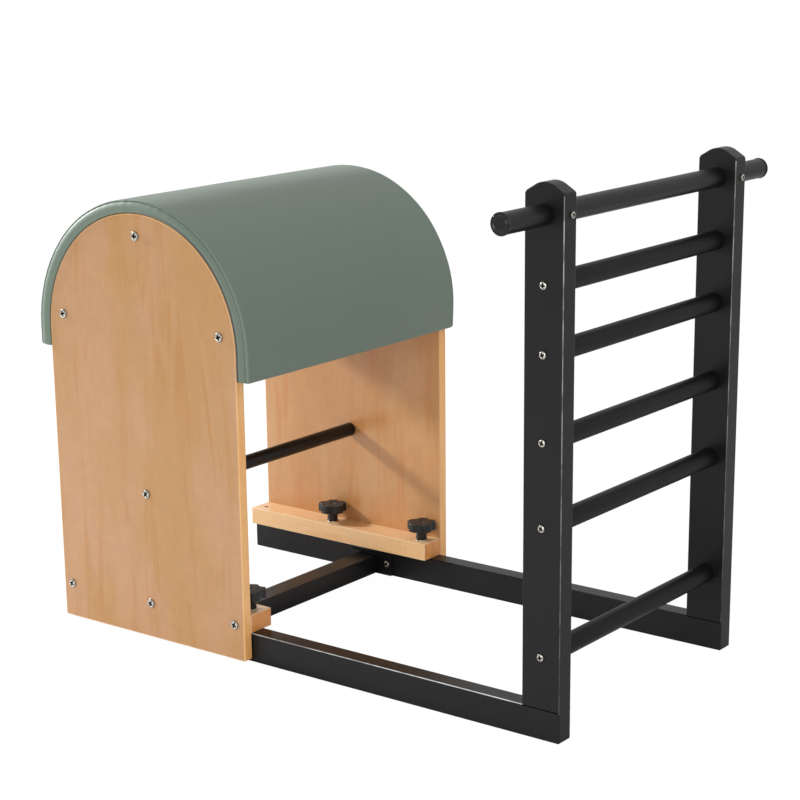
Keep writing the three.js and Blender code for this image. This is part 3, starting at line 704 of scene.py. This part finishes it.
def screw(name, seat, axis, out, shank, size=1.0):
    """A screw's shank, the head's rim, then a quarter ellipse up to the middle, less the cross's depth.

    The size multiplies its width. The recess and the head's rim are darkened with painted shade.
    """
    along, across, beyond = AXES[axis]
    rise = np.linspace(0, np.pi / 2, 26)
    dome_radii = HEAD_RADIUS * np.cos(rise)
    dome_heights = RIM_HEIGHT + (HEAD_HEIGHT - RIM_HEIGHT) * np.sin(rise)
    low_radii = [0, 0.5 * SHANK_RADIUS, SHANK_RADIUS, SHANK_RADIUS, HEAD_RADIUS - HEAD_EDGE, HEAD_RADIUS]
    low_heights = [-shank, -shank, SHANK_TIP - shank, 0, 0, HEAD_EDGE]
    radii = np.concatenate([low_radii, dome_radii])
    heights = np.concatenate([low_heights, dome_heights])
    angle = np.arange(TURN_STEPS) * 2 * np.pi / TURN_STEPS
    x = radii[:, None] * np.cos(angle)
    y = radii[:, None] * np.sin(angle)
    level = heights[:, None] - np.where(heights[:, None] > RIM_HEIGHT, cross_depth(x, y), 0)
    turn = chance.uniform(0, np.pi / 2)
    u = size * (x * math.cos(turn) - y * math.sin(turn))
    v = size * (x * math.sin(turn) + y * math.cos(turn))
    rings = seat + u[..., None] * across + v[..., None] * beyond + out * level[..., None] * along
    piece = skin(name, rings, ends="pole")
    piece.data.set_sharp_from_angle(angle=SHARP_ANGLE)
    depth = (heights[:, None] - level) / RECESS_DEPTH
    # painted shade: dark in the recess and round the head's rim
    dark = np.maximum(3 * depth, RIM_SHADE * (radii > SHADED_RIM * HEAD_RADIUS)[:, None])
    mark(piece, "painted_shade", np.clip(np.append(dark[1:-1], [0, 1]), 0, 1))
    return piece


def screw_for(node, axis, out, size=1.0):
    """A screw in the place of a CAD screw, with its shank as long as that one's."""
    low, high = span(node)
    shank = (high - low)["XYZ".index(axis)] - HEAD_HEIGHT
    seat = face_place(node, axis, out, HEAD_HEIGHT)
    dress(screw(f"{node}_plated", seat, axis, out, shank, size), node)


for side, out in SIDES.items():
    screw_for(f"bar_screw_{side}", "X", 1, BAR_SCREW_SIZE)
    for n in range(1, 6):
        screw_for(f"rung_screw_{side}_{n}", "Y", out)
    for n in range(1, 8):
        screw_for(f"panel_screw_{side}_{n}", "Y", out, PANEL_SCREW_SIZE)

BEAM_SCREW_SPACING = 89 * MM
BEAM_SCREW_HEIGHT = 27 * MM
BEAM_SCREW_SHANK = 12 * MM
for side, out in SIDES.items():
    inner = (beam_low[1] if out < 0 else beam_high[1]) - out * PLATE_THICKNESS
    for end, way in {"rear": -1, "front": 1}.items():
        seat = np.array([plate_x + way * BEAM_SCREW_SPACING / 2, inner, BEAM_SCREW_HEIGHT])
        piece = screw(f"crossbeam_screw_{side}_{end}_plated", seat, "Y", -out, BEAM_SCREW_SHANK)
        dress(piece, "crossbeam", slot="zinc", stands_for=False)

# %% [markdown]
# ## Side panels
# A panel is plywood cut to a half round top, with its arrises routed and sanded. Its faces show
# the veneer. The far panel's veneer is lighter and warmer, which is painted light on its inner
# face. The cut edge has a band of a warmer wood still, and a paler veneer on the rounded arris is
# a painted highlight. The mesh takes both as further materials on the rows of faces round the edge.

# %% Side panels
PANEL_ARRIS = 2.4 * MM
PANEL_CORNER = 4 * MM
ARCH_STEPS = 120


def panel_outline(low, high):
    """Two rounded lower corners and a half circle as wide as the panel."""
    radius = (high[0] - low[0]) / 2
    middle = (low[0] + high[0]) / 2
    spring = high[2] - radius
    return arc_path(
        (low[0] + PANEL_CORNER, low[2] + PANEL_CORNER, PANEL_CORNER, 180, 270, 6),
        (high[0] - PANEL_CORNER, low[2] + PANEL_CORNER, PANEL_CORNER, 270, 360, 6),
        (middle, spring, radius, 0, 180, ARCH_STEPS),
    )


for side in SIDES:
    node = f"side_panel_{side}"
    low, high = span(node)
    outline = panel_outline(low, high)
    # the far panel takes the lighter veneer, which is painted light
    veneer = {"near": birch, "far": far_birch_painted_light}[side]
    panel = board(f"{node}_veneered", outline, low[1], high[1], PANEL_ARRIS)
    dress(panel, node, veneer, edge_band, birch_painted_highlight)
    bands = 2 * ARRIS_STEPS + 1
    columns = len(outline[0])
    look = np.zeros(len(panel.data.polygons), dtype=np.int32)
    # the rows on the rounded arrises take the painted highlight, the rows between them the edge band
    look[:columns * bands] = 2
    look[columns * 2:columns * (bands - 2)] = 1
    panel.data.polygons.foreach_set("material_index", look)
    panel.data.update()
print("panels are", np.round((high - low) / MM, 1), "mm")

# %% [markdown]
# ## Deck
# The pad lies on a sheet of bent plywood between the panels. Its outline is two half circles with
# short straight skirts below them.

# %% Deck
DECK_THICKNESS = 18 * MM
DECK_ARRIS = 0.8 * MM
SKIRT_ROUNDING = 1.5 * MM
deck_low, deck_high = span("barrel_deck")
arch_radius = (deck_high[0] - deck_low[0]) / 2
arch_x = (deck_low[0] + deck_high[0]) / 2
arch_z = deck_high[2] - arch_radius
inner_radius = arch_radius - DECK_THICKNESS


def deck_outline():
    """The outer half circle, skirts with rounded ends, and the inner half circle with normals turned in."""
    edge = SKIRT_ROUNDING
    middle = arch_radius - DECK_THICKNESS / 2
    reach = DECK_THICKNESS / 2 - edge
    outer, outer_out = arc_path(
        (arch_x + middle - reach, deck_low[2] + edge, edge, 180, 270, 3),
        (arch_x + middle + reach, deck_low[2] + edge, edge, 270, 360, 3),
        (arch_x, arch_z, arch_radius, 0, 180, ARCH_STEPS),
        (arch_x - middle - reach, deck_low[2] + edge, edge, 180, 270, 3),
        (arch_x - middle + reach, deck_low[2] + edge, edge, 270, 360, 3),
    )
    inner, inner_out = arc_path((arch_x, arch_z, inner_radius, 180, 0, ARCH_STEPS))
    return np.concatenate([outer, inner]), np.concatenate([outer_out, -inner_out])


dress(board("barrel_deck_bent", deck_outline(), deck_low[1], deck_high[1], DECK_ARRIS), "barrel_deck")
print("arch radius", round(arch_radius / MM, 1), "mm about z", round(arch_z / MM, 1), "mm")

# %% [markdown]
# ## The padded cover
# Foam is glued over the deck and the panels' edges, and the leatherette cover is stretched over
# it. A strip closes each end face and is sewn to the top cover. The seam pulls in a sharp line,
# and the foam swells on both sides of it, so the strip is slightly domed and the top cover rolls
# over the corner. A cloth simulation could swell the foam, but its remesh would erase the seam.
# So the cover is a section across the barrel, carried along the arch, and each part of the
# section is a formula with real sizes in it.

# %% Sizes of the pad
pad_low, pad_high = span("barrel_pad")
COVER_GAP = 0.3 * MM
PAD_HALF = (pad_high[1] - pad_low[1]) / 2
PAD_INNER = arch_radius + COVER_GAP
PAD_THICKNESS = (pad_high[0] - pad_low[0]) / 2 - PAD_INNER
PAD_CROWN = 0.8 * MM
HEM_ROUNDING = 6 * MM
FOLD_RADIUS = 3.5 * MM
STRIP_DOME = 1.6 * MM
SEAM_DEPTH = 3.2 * MM
SEAM_WIDTH = 4.2 * MM
ROLL_SEAM_SHARE = 0.4  # of the crease's width, on the side of the roll
REAR_ROLL = 3 * MM
FRONT_ROLL = 7.5 * MM
ROLL_REACH = 4.5 * MM
FRONT_FULLNESS = 6.5 * MM
REAR_FULLNESS = 2 * MM
FAR_TUCK = 6 * MM
HEM_TUCK = 0.7  # the share by which it is tucked in further at the front hem
EDGE_LIFT = 1 * MM
EDGE_LIFT_WIDTH = 12 * MM
REAR_SKIRT = 39 * MM
STATION_STEP = 3 * MM
print("pad is", round(PAD_THICKNESS / MM, 1), "mm thick and", round(2 * PAD_HALF / MM, 1), "mm wide")

# %% [markdown]
# ## The way along the arch
# One length along the arch goes up the rear skirt, over the half circle and down the front skirt.
# It is sampled every few millimetres, and closer at both hems, where the cover turns under.


# %% The way along the arch
def pad_way():
    """Samples of the length: even steps, with both ends closer together by one minus a cosine."""
    whole = REAR_SKIRT + np.pi * PAD_INNER + arch_z - pad_low[2]
    hem = HEM_ROUNDING * (1 - np.cos(np.linspace(0, np.pi / 2, 9)))
    middle = np.linspace(HEM_ROUNDING, whole - HEM_ROUNDING, int(whole / STATION_STEP))
    return np.concatenate([hem[:-1], middle, (whole - hem[:-1])[::-1]]), whole


def pad_stations(way):
    """Points on the arch and the ways out of it, which the angle along the half circle gives.

    A point is the centre plus the radius times the way out, lowered by what is left of a skirt.
    """
    bent = way - REAR_SKIRT
    angle = np.pi - np.clip(bent, 0, np.pi * PAD_INNER) / PAD_INNER
    out = np.column_stack([np.cos(angle), np.sin(angle)])
    drop = np.maximum(-bent, 0) + np.maximum(bent - np.pi * PAD_INNER, 0)
    return np.array([arch_x, arch_z]) + PAD_INNER * out - drop[:, None] * [0, 1], out


way, whole_way = pad_way()
station, station_out = pad_stations(way)
print(len(way), "stations over", round(whole_way / MM), "mm")

# %% [markdown]
# ## The section of the pad
# Half of the section has five parts: the flat underside, the fold at the wood, the domed strip on
# the end face, a tight roll round the corner, and the top cover. The seam lies on the end face
# where the strip meets the roll, and pulls in a crease. Close to the fold the underside stands
# off the wood a little, which leaves a dark line round the panel.


# %% The section of the pad
UNDER_POINTS = 9
FOLD_POINTS = 6
STRIP_POINTS = 27
ROLL_POINTS = 18
TOP_POINTS = 29


def half_section(half, thick, high):
    """The way across and up of half a section, from the middle of the underside to that of the top.

    Rows are stations, with half the width, the thickness and the roll's height. The fold is a
    quarter circle, the strip bulges by a parabola, the roll is a quarter ellipse and the top rises
    by a parabola. Both sides of the seam sink by the crease's depth times exp(-distance / width),
    where the roll's side has a smaller width. Powers crowd the points towards the seam.
    """
    shoulder = thick - PAD_CROWN
    seam = shoulder - high
    fold = np.linspace(-np.pi / 2, 0, FOLD_POINTS)
    under = np.append(np.linspace(0, 0.9, 5), np.linspace(0.95, 0.9875, UNDER_POINTS - 5))
    across = [(half - FOLD_RADIUS) * under, half - FOLD_RADIUS + FOLD_RADIUS * np.cos(fold)]
    lift = EDGE_LIFT * np.clip(1 - (half - FOLD_RADIUS - across[0]) / EDGE_LIFT_WIDTH, 0, 1) ** 2
    up = [lift, EDGE_LIFT + (FOLD_RADIUS - EDGE_LIFT) * (1 + np.sin(fold)) * np.ones_like(half)]
    strip = 1 - (1 - np.linspace(0, 1, STRIP_POINTS + 1)[1:]) ** 1.6
    crease = np.exp(-(seam - FOLD_RADIUS) * (1 - strip) / SEAM_WIDTH)
    across.append(half + STRIP_DOME * 4 * strip * (1 - strip) - SEAM_DEPTH * crease)
    up.append(FOLD_RADIUS + (seam - FOLD_RADIUS) * strip)
    roll = np.pi / 2 * np.linspace(0, 1, ROLL_POINTS + 1)[1:] ** 1.4
    crease = np.exp(-high * roll / (ROLL_SEAM_SHARE * SEAM_WIDTH))
    across.append(half - ROLL_REACH * (1 - np.cos(roll)) - SEAM_DEPTH * crease)
    up.append(seam + high * np.sin(roll))
    top = 1 - np.linspace(0, 1, TOP_POINTS + 1)[1:] ** 1.5
    across.append((half - ROLL_REACH) * top)
    up.append(shoulder + PAD_CROWN * (1 - top**2))
    return np.concatenate(across, axis=1), np.concatenate(up, axis=1)


# the hems are rounded by a quarter circle, and the roll grows from the top of the arch to the front
hem_way = np.minimum(way, whole_way - way)
hem_share = np.clip(1 - hem_way / HEM_ROUNDING, 0, 1)
hem_inset = (HEM_ROUNDING * (1 - np.sqrt(1 - hem_share**2)))[:, None]
front_share = np.clip(2 * way / whole_way - 1, 0, 1)
roll_height = (REAR_ROLL + (FRONT_ROLL - REAR_ROLL) * front_share)[:, None]
across, up = half_section(PAD_HALF - hem_inset, PAD_THICKNESS - hem_inset, roll_height)
seam_column = UNDER_POINTS + FOLD_POINTS + STRIP_POINTS - 1
print(across.shape[1], "points in half a section")

# %% [markdown]
# ## Puckers and slack
# Stitches gather the cover a little, so small puckers run off the seam and die out within a
# centimetre or two. The wide top has only a slight slack from hand stretching. Both are sums of
# sines with seeded lengths and phases, and they move the surface by a few tenths of a millimetre.
# The foam is a little fuller towards both hems, most of all at the front, where it isn't pulled.


# %% Puckers and slack
PUCKER_DEPTH = 0.22 * MM
PUCKER_LENGTHS = (16 * MM, 45 * MM)
PUCKER_WAVES = 7
PUCKER_REACH = 9 * MM
PUCKER_START = 6 * MM  # the height over the wood at which the puckers reach their full depth
SLACK_DEPTH = 0.3 * MM
SLACK_LENGTHS = (90 * MM, 260 * MM)
SLACK_WAVES = 5
SLACK_LEAN = 0.35  # of the way across, which shifts the waves so that they run slantwise
TOP_SHARE = 0.7  # of the thickness, above which the slack grows to its full depth


def ripples(place, lengths, count):
    """A sum of sines along a length, scaled to about one.

    Their wavelengths, between two limits, and their phases are seeded.
    """
    wave = chance.uniform(*lengths, count)
    phase = chance.uniform(0, 2 * np.pi, count)
    return np.sin(2 * np.pi * place[..., None] / wave + phase).sum(axis=-1) / math.sqrt(count)


def pad_half(side):
    """Half of the pad's rings: a section point is its station plus up times the way out.

    Ripples are added to its way across and up. The fullness adds to up in proportion: all of it at
    the near end, a fifth at the far end. The far end is tucked in by the fourth power of the way
    across, and further by the twelfth power of the way to the front hem.
    """
    seam_across, seam_up = (part[:, seam_column:seam_column + 1] for part in (across, up))
    from_seam = np.hypot(across - seam_across, up - seam_up)
    near_seam = np.exp(-from_seam / PUCKER_REACH) * np.clip(up / PUCKER_START, 0, 1)
    pucker = PUCKER_DEPTH * ripples(way, PUCKER_LENGTHS, PUCKER_WAVES)[:, None]
    slack = SLACK_DEPTH * ripples(way[:, None] + SLACK_LEAN * across, SLACK_LENGTHS, SLACK_WAVES)
    on_top = np.clip((up / PAD_THICKNESS - TOP_SHARE) / (1 - TOP_SHARE), 0, 1)
    tuck = FAR_TUCK * (side > 0) * (across / PAD_HALF) ** 4 * (1 + HEM_TUCK * front_share[:, None] ** 12)
    moved_across = side * (across + pucker * near_seam - tuck)
    fuller = fullness[:, None] * (0.6 - 0.4 * side * across / PAD_HALF)
    moved_up = up * (1 + fuller / PAD_THICKNESS) + slack * on_top
    x = station[:, :1] + station_out[:, :1] * moved_up
    z = station[:, 1:] + station_out[:, 1:] * moved_up
    return np.stack([x, moved_across, z], axis=-1)


rear_share = np.clip(1 - 2 * way / whole_way, 0, 1)
fullness = FRONT_FULLNESS * front_share**1.5 + REAR_FULLNESS * rear_share**1.5
left, right = pad_half(-1), pad_half(1)
middle = (left[:, -1:] + right[:, -1:]) / 2
pad_rings = np.concatenate([right[:, :-1], middle, left[:, 1:-1][:, ::-1]], axis=1)
pad = dress(skin("barrel_pad_upholstered", pad_rings), "barrel_pad")
print("pad has", len(pad.data.polygons), "faces")

# %% [markdown]
# ## Shade on the pad
# Painted shade darkens the seam. On the front half, painted shade darkens the fold at the wood
# more, and the strip a little. The mesh says how much at each vertex. Places and widths of the
# shade are counted in points along the half section, from the middle of the underside.

# %% Shade on the pad
SEAM_SHADE = 0.6
SEAM_SHADE_POINTS = 4
FOLD_SHADE_END = 19.5
FOLD_SHADE_FADE = 2.5
STRIP_SHADE = 0.12
SHADE_GROWTH = 2.5  # how fast the fold and the strip reach their full shade in front of the top
column = np.arange(across.shape[1])
shade = SEAM_SHADE * np.maximum(0, 1 - np.abs(column - seam_column) / SEAM_SHADE_POINTS)
shade = shade * np.ones_like(way)[:, None]
end_face = slice(UNDER_POINTS, seam_column - 1)
by_wood = np.clip((FOLD_SHADE_END - column[end_face]) / FOLD_SHADE_FADE, STRIP_SHADE, 1)
shade[:, end_face] += np.minimum(1, SHADE_GROWTH * front_share)[:, None] * by_wood
# the pad's painted shade
mark(pad, "painted_shade", np.clip(np.concatenate([shade, shade[:, 1:-1][:, ::-1]], axis=1), 0, 1))
print(np.count_nonzero(shade), "points of half the pad are shaded")

# %% [markdown]
# ## Cleats
# Each panel has a beech bar inside that rests on a rail. Studs go down through it, and a spare
# hole is left open at the rear. The bar is a ring of flat faces between that hole and the bar's
# outline, and a Bevel modifier rounds the arrises as a router would. The bevel takes a second,
# paler beech, a painted highlight along the arrises. The sawn ends take a third, darker orange
# beech: end grain drinks more lacquer, and the orange is also painted shade.

# %% Cleats
SPARE_HOLE_SETBACK = 24 * MM
SPARE_HOLE_RADIUS = 6 * MM
CLEAT_ARRIS = 3.2 * MM
KNOB_Y = sum(span("knob_washer_far_middle"))[1] / 2
panel_low = span("side_panel_near")[0]


def drilled_bar(name, low, high, hole):
    """A box with a hole along Z.

    Each ray from the hole's middle meets the box's outline at the least distance of its four sides.
    """
    corners = np.array([[low[0], low[1]], [high[0], low[1]], [high[0], high[1]], [low[0], high[1]]]) - hole
    to_corners = np.arctan2(corners[:, 1], corners[:, 0]) % (2 * np.pi)
    even = np.linspace(0, 2 * np.pi, TURN_STEPS + 1)[:-1]
    angle = np.unique(np.round(np.append(even, to_corners), 9))
    spoke = np.column_stack([np.cos(angle), np.sin(angle)])
    with np.errstate(divide="ignore"):
        reach_high = np.where(spoke > 1e-9, (high[:2] - hole) / spoke, np.inf)
        reach_low = np.where(spoke < -1e-9, (low[:2] - hole) / spoke, np.inf)
    reach = np.minimum(reach_high, reach_low).min(axis=1)
    hole_reach = np.full_like(reach, SPARE_HOLE_RADIUS)
    radii = np.array([reach, reach, hole_reach, hole_reach])
    heights = np.array([low[2], high[2], high[2], low[2]])[:, None] * np.ones_like(reach)
    flat = hole + radii[..., None] * spoke
    piece = skin(name, np.concatenate([flat, heights[..., None]], axis=-1), ends="join")
    piece.data.set_sharp_from_angle(angle=SHARP_ANGLE)
    facing = np.empty(3 * len(piece.data.polygons), dtype=np.float32)
    piece.data.polygons.foreach_get("normal", facing)
    # the end faces take the third material: end grain with painted shade
    piece.data.polygons.foreach_set("material_index", 2 * (np.abs(facing[::3]) > 0.9).astype(np.int32))
    bevel = piece.modifiers.new("rounded arrises", "BEVEL")
    bevel.width = CLEAT_ARRIS
    # the bevel takes the second material, a painted highlight on the rounded arrises
    bevel.material = 1
    bevel.segments = 4
    bevel.limit_method = "ANGLE"
    bevel.angle_limit = SHARP_ANGLE
    bevel.harden_normals = True
    return piece


for side, out in SIDES.items():
    node = f"cleat_{side}"
    low, high = span(node)
    hole = np.array([panel_low[0] + SPARE_HOLE_SETBACK, out * KNOB_Y])
    dress(drilled_bar(f"{node}_rounded", low, high, hole), node, beech, beech_painted_highlight, end_beech_and_shade)

# %% [markdown]
# ## Star knobs
# A knob has a round hub and a head with five lobes, so that a hand can turn it against the
# clamp's grip. The head's outline is a circle with five round scallops cut into it, blended
# softly. The skin is a profile carried round the stud, and a weight along the profile fades the
# scallops out at the hub and in the shallow round dish on top.

# %% Star knobs
LOBES = 5
KNOB_RADIUS = 31.5 * MM
LOBE_DEPTH = 6 * MM
LOBE_BLEND = 0.9 * MM
SCALLOP_RADIUS = 14 * MM
HUB_RADIUS = 11.7 * MM
HUB_EDGE = 1 * MM
HUB_FILLET = 0.8 * MM
KNOB_EDGE = 1.3 * MM
DISH_RADIUS = 6 * MM
DISH_DEPTH = 1.5 * MM
KNOB_TURNS = {"middle": 54.7, "front": 44.7}  # degrees
KNOB_STEPS = 160
KNOB_SHARP_ANGLE = math.radians(50)
HEAD_LIFT = 20.5 * MM
STUD_RADIUS = 4 * MM
STUD_DEPTH = 6 * MM  # how far the stud reaches up into the hub
STUD_EDGE = 0.6 * MM
WASHER_HOLE = 4.3 * MM
WASHER_EDGE = 0.4 * MM
KNOB_GAP = 0.3 * MM
KNOB_SEAT = span("knob_washer_near_middle")[1][2] + KNOB_GAP


def lobed_radius(angle):
    """The smaller of the knob's circle and the near side of a scallop's circle between two lobes.

    They are blended by a soft minimum: less the logarithm of the sum of their exponentials.
    """
    from_scallop = angle % (2 * np.pi / LOBES) - np.pi / LOBES
    centre = KNOB_RADIUS + SCALLOP_RADIUS - LOBE_DEPTH
    inside = SCALLOP_RADIUS**2 - (centre * np.sin(from_scallop)) ** 2
    scallop = centre * np.cos(from_scallop) - np.sqrt(np.maximum(inside, 0))
    return -LOBE_BLEND * np.log(np.exp(-KNOB_RADIUS / LOBE_BLEND) + np.exp(-scallop / LOBE_BLEND))


def knob_profile(top):
    """Rows of the radius, the height and how much of the scallops shows.

    They go from the hub's foot over the head's flat underside, round both edges, over the flat
    face and into the dish, whose depth falls off by the fourth power of the radius.
    """
    reach = KNOB_RADIUS - KNOB_EDGE
    lower, upper = HEAD_LIFT + KNOB_EDGE, top - KNOB_EDGE
    rows = [(0, 0, 0), (HUB_RADIUS - HUB_EDGE, 0, 0)]
    rows += [(HUB_RADIUS - 0.3 * HUB_EDGE, 0.3 * HUB_EDGE, 0), (HUB_RADIUS, HUB_EDGE, 0)]
    rows += [(HUB_RADIUS, HEAD_LIFT - HUB_FILLET, 0), (HUB_RADIUS + HUB_FILLET, HEAD_LIFT, 0)]
    for share in np.linspace(0, 1, 7)[1:]:
        rows.append((HUB_RADIUS + (reach - HUB_RADIUS) * share, HEAD_LIFT, share))
    for turn in np.linspace(-np.pi / 2, 0, 6)[1:]:
        rows.append((reach + KNOB_EDGE * math.cos(turn), lower + KNOB_EDGE * math.sin(turn), 1))
    for turn in np.linspace(0, np.pi / 2, 7):
        rows.append((reach + KNOB_EDGE * math.cos(turn), upper + KNOB_EDGE * math.sin(turn), 1))
    for share in np.linspace(0, 1, 9)[1:]:
        rows.append((reach + (DISH_RADIUS - reach) * share, top, 1 - share))
    for share in np.linspace(1, 0, 9)[1:]:
        rows.append((DISH_RADIUS * share, top - DISH_DEPTH * (1 - share**4), 0))
    return np.array(rows)


def star_knob(name, centre, seat, top, turn):
    """The radius is the profile's, plus its weight times the lobed outline less the knob's circle."""
    profile = knob_profile(top - seat)
    angle = np.arange(KNOB_STEPS) * 2 * np.pi / KNOB_STEPS
    radius = profile[:, :1] + profile[:, 2:] * (lobed_radius(angle) - KNOB_RADIUS)
    x = centre[0] + radius * np.cos(angle + turn)
    y = centre[1] + radius * np.sin(angle + turn)
    z = seat + profile[:, 1:2] * np.ones_like(angle)
    piece = skin(name, np.stack([x, y, z], axis=-1), ends="pole")
    piece.data.set_sharp_from_angle(angle=KNOB_SHARP_ANGLE)
    return piece


def washer(name, low, high):
    """A flat ring: four small corner arcs carried round the stud, with its ends joined."""
    outer = (high[0] - low[0]) / 2
    half = (high[2] - low[2]) / 2
    ring = rectangle(WASHER_HOLE, -half, outer, half, WASHER_EDGE, 3)
    return turned(name, ring, (low + high) / 2, "Z", ends="join", steps=48)


for side in SIDES:
    for place, turn in KNOB_TURNS.items():
        node = f"star_knob_{side}_{place}"
        ring_node = f"knob_washer_{side}_{place}"
        low, high = span(node)
        ring_low, ring_high = span(ring_node)
        x, y, _ = (ring_low + ring_high) / 2
        dress(star_knob(f"{node}_moulded", (x, y), KNOB_SEAT, high[2], math.radians(turn)), node)
        stud_half = (KNOB_SEAT + STUD_DEPTH - low[2]) / 2
        rod = flat_ended(STUD_RADIUS, stud_half, STUD_EDGE)
        middle = np.array([x, y, low[2] + stud_half])
        stud = turned(f"knob_stud_{side}_{place}_plated", rod, middle, "Z", steps=32)
        dress(stud, node, slot="zinc", stands_for=False)
        dress(washer(f"{ring_node}_plated", ring_low, ring_high), ring_node)

# %% [markdown]
# ## Floor and light
# The object stands on a pale floor in a studio that is lit evenly from all sides. A small lamp
# from the rear left throws the shadows, and a large weak one by the camera lights the near faces.
# For the camera, most of the floor's white is emitted, so it stays white and keeps a faint shadow.


# %% Floor and light
FLOOR_HALF = 40.0
FLOOR_DROP = 0.5 * MM
FLOOR_GLOW = 0.93
FLOOR_WHITE = 1.05
AIR_LEVEL = 0.73


def studio_floor():
    """A wide square a hair below the feet. The camera sees a mix of its shaded white and plain white."""
    corners = FLOOR_HALF * np.array([(-1, -1), (1, -1), (1, 1), (-1, 1)])
    mesh = bpy.data.meshes.new("studio_floor")
    mesh.from_pydata([(x, y, -FLOOR_DROP) for x, y in corners], [], [(0, 1, 2, 3)])
    material = bpy.data.materials.new("white_studio_paint")
    material.use_nodes = True
    tree = material.node_tree
    tree.nodes.clear()
    seen = add(tree, "LightPath").outputs["Is Camera Ray"]
    share = add(tree, "Math", {0: seen, 1: FLOOR_GLOW}, operation="MULTIPLY").outputs["Value"]
    paint = add(tree, "BsdfDiffuse", {"Color": linear("#e6e6e6")}).outputs["BSDF"]
    white = add(tree, "Emission", {"Color": (1, 1, 1, 1), "Strength": FLOOR_WHITE}).outputs["Emission"]
    mixed = add(tree, "MixShader", {0: share, 1: paint, 2: white}).outputs["Shader"]
    add(tree, "OutputMaterial", {"Surface": mixed})
    mesh.materials.append(material)
    new_object("studio_floor", mesh)


def studio_air():
    """The world lights with one plain level, and shows plain white to the camera and through glass."""
    world = bpy.data.worlds.new("studio_air")
    world.use_nodes = True
    tree = world.node_tree
    tree.nodes.clear()
    path = add(tree, "LightPath").outputs
    rays = {0: path["Is Camera Ray"], 1: path["Is Transmission Ray"]}
    straight = add(tree, "Math", rays, operation="MAXIMUM").outputs["Value"]
    strength = add(tree, "MapRange", {"Value": straight, "To Min": AIR_LEVEL, "To Max": 1.0})
    glow = add(tree, "Background", {"Color": (1, 1, 1, 1), "Strength": strength.outputs["Result"]})
    add(tree, "OutputWorld", {"Surface": glow.outputs["Background"]})
    bpy.context.scene.world = world


def soft_lamp(name, place, target, size, watts):
    """A square area lamp turned so that its -Z axis points at the target."""
    lamp = bpy.data.lights.new(name, "AREA")
    lamp.size = size
    lamp.energy = watts
    body = new_object(name, lamp)
    body.location = place
    body.rotation_euler = (Vector(target) - Vector(place)).to_track_quat("-Z", "Y").to_euler()


studio_floor()
studio_air()
soft_lamp("key_lamp", (-2.8, -0.47, 1.6), (-0.3, 0, 0.5), 0.3, 86)
soft_lamp("front_lamp", (1.2, -3.8, 1.3), (0, 0, 0.4), 1.6, 33)

# %% [markdown]
# ## Camera
# The camera was fitted to some sixty corners and edges of the photograph. It stands to the right
# of the front at chest height, looks down a little, and is level but for a fraction of a degree.
# The photograph is a crop off the optical axis, so the lens has a small shift.

# %% Camera
CAMERA_PLACE = (2.4804, -3.1912, 1.4444)
CAMERA_YAW = 36.67
CAMERA_PITCH = -15.54
CAMERA_ROLL = -0.4
camera_data = bpy.data.cameras.new("camera")
camera_data.sensor_width = 36
camera_data.lens = 92.76
camera_data.shift_x = -0.0358
camera_data.shift_y = 0.0985
camera = new_object("camera", camera_data)
turn = Matrix.Rotation(math.radians(CAMERA_YAW), 4, "Z")
turn = turn @ Matrix.Rotation(math.radians(90 + CAMERA_PITCH), 4, "X")
turn = turn @ Matrix.Rotation(math.radians(CAMERA_ROLL), 4, "Z")
camera.matrix_world = Matrix.Translation(CAMERA_PLACE) @ turn
bpy.context.scene.camera = camera
bpy.context.scene.view_settings.view_transform = "Standard"
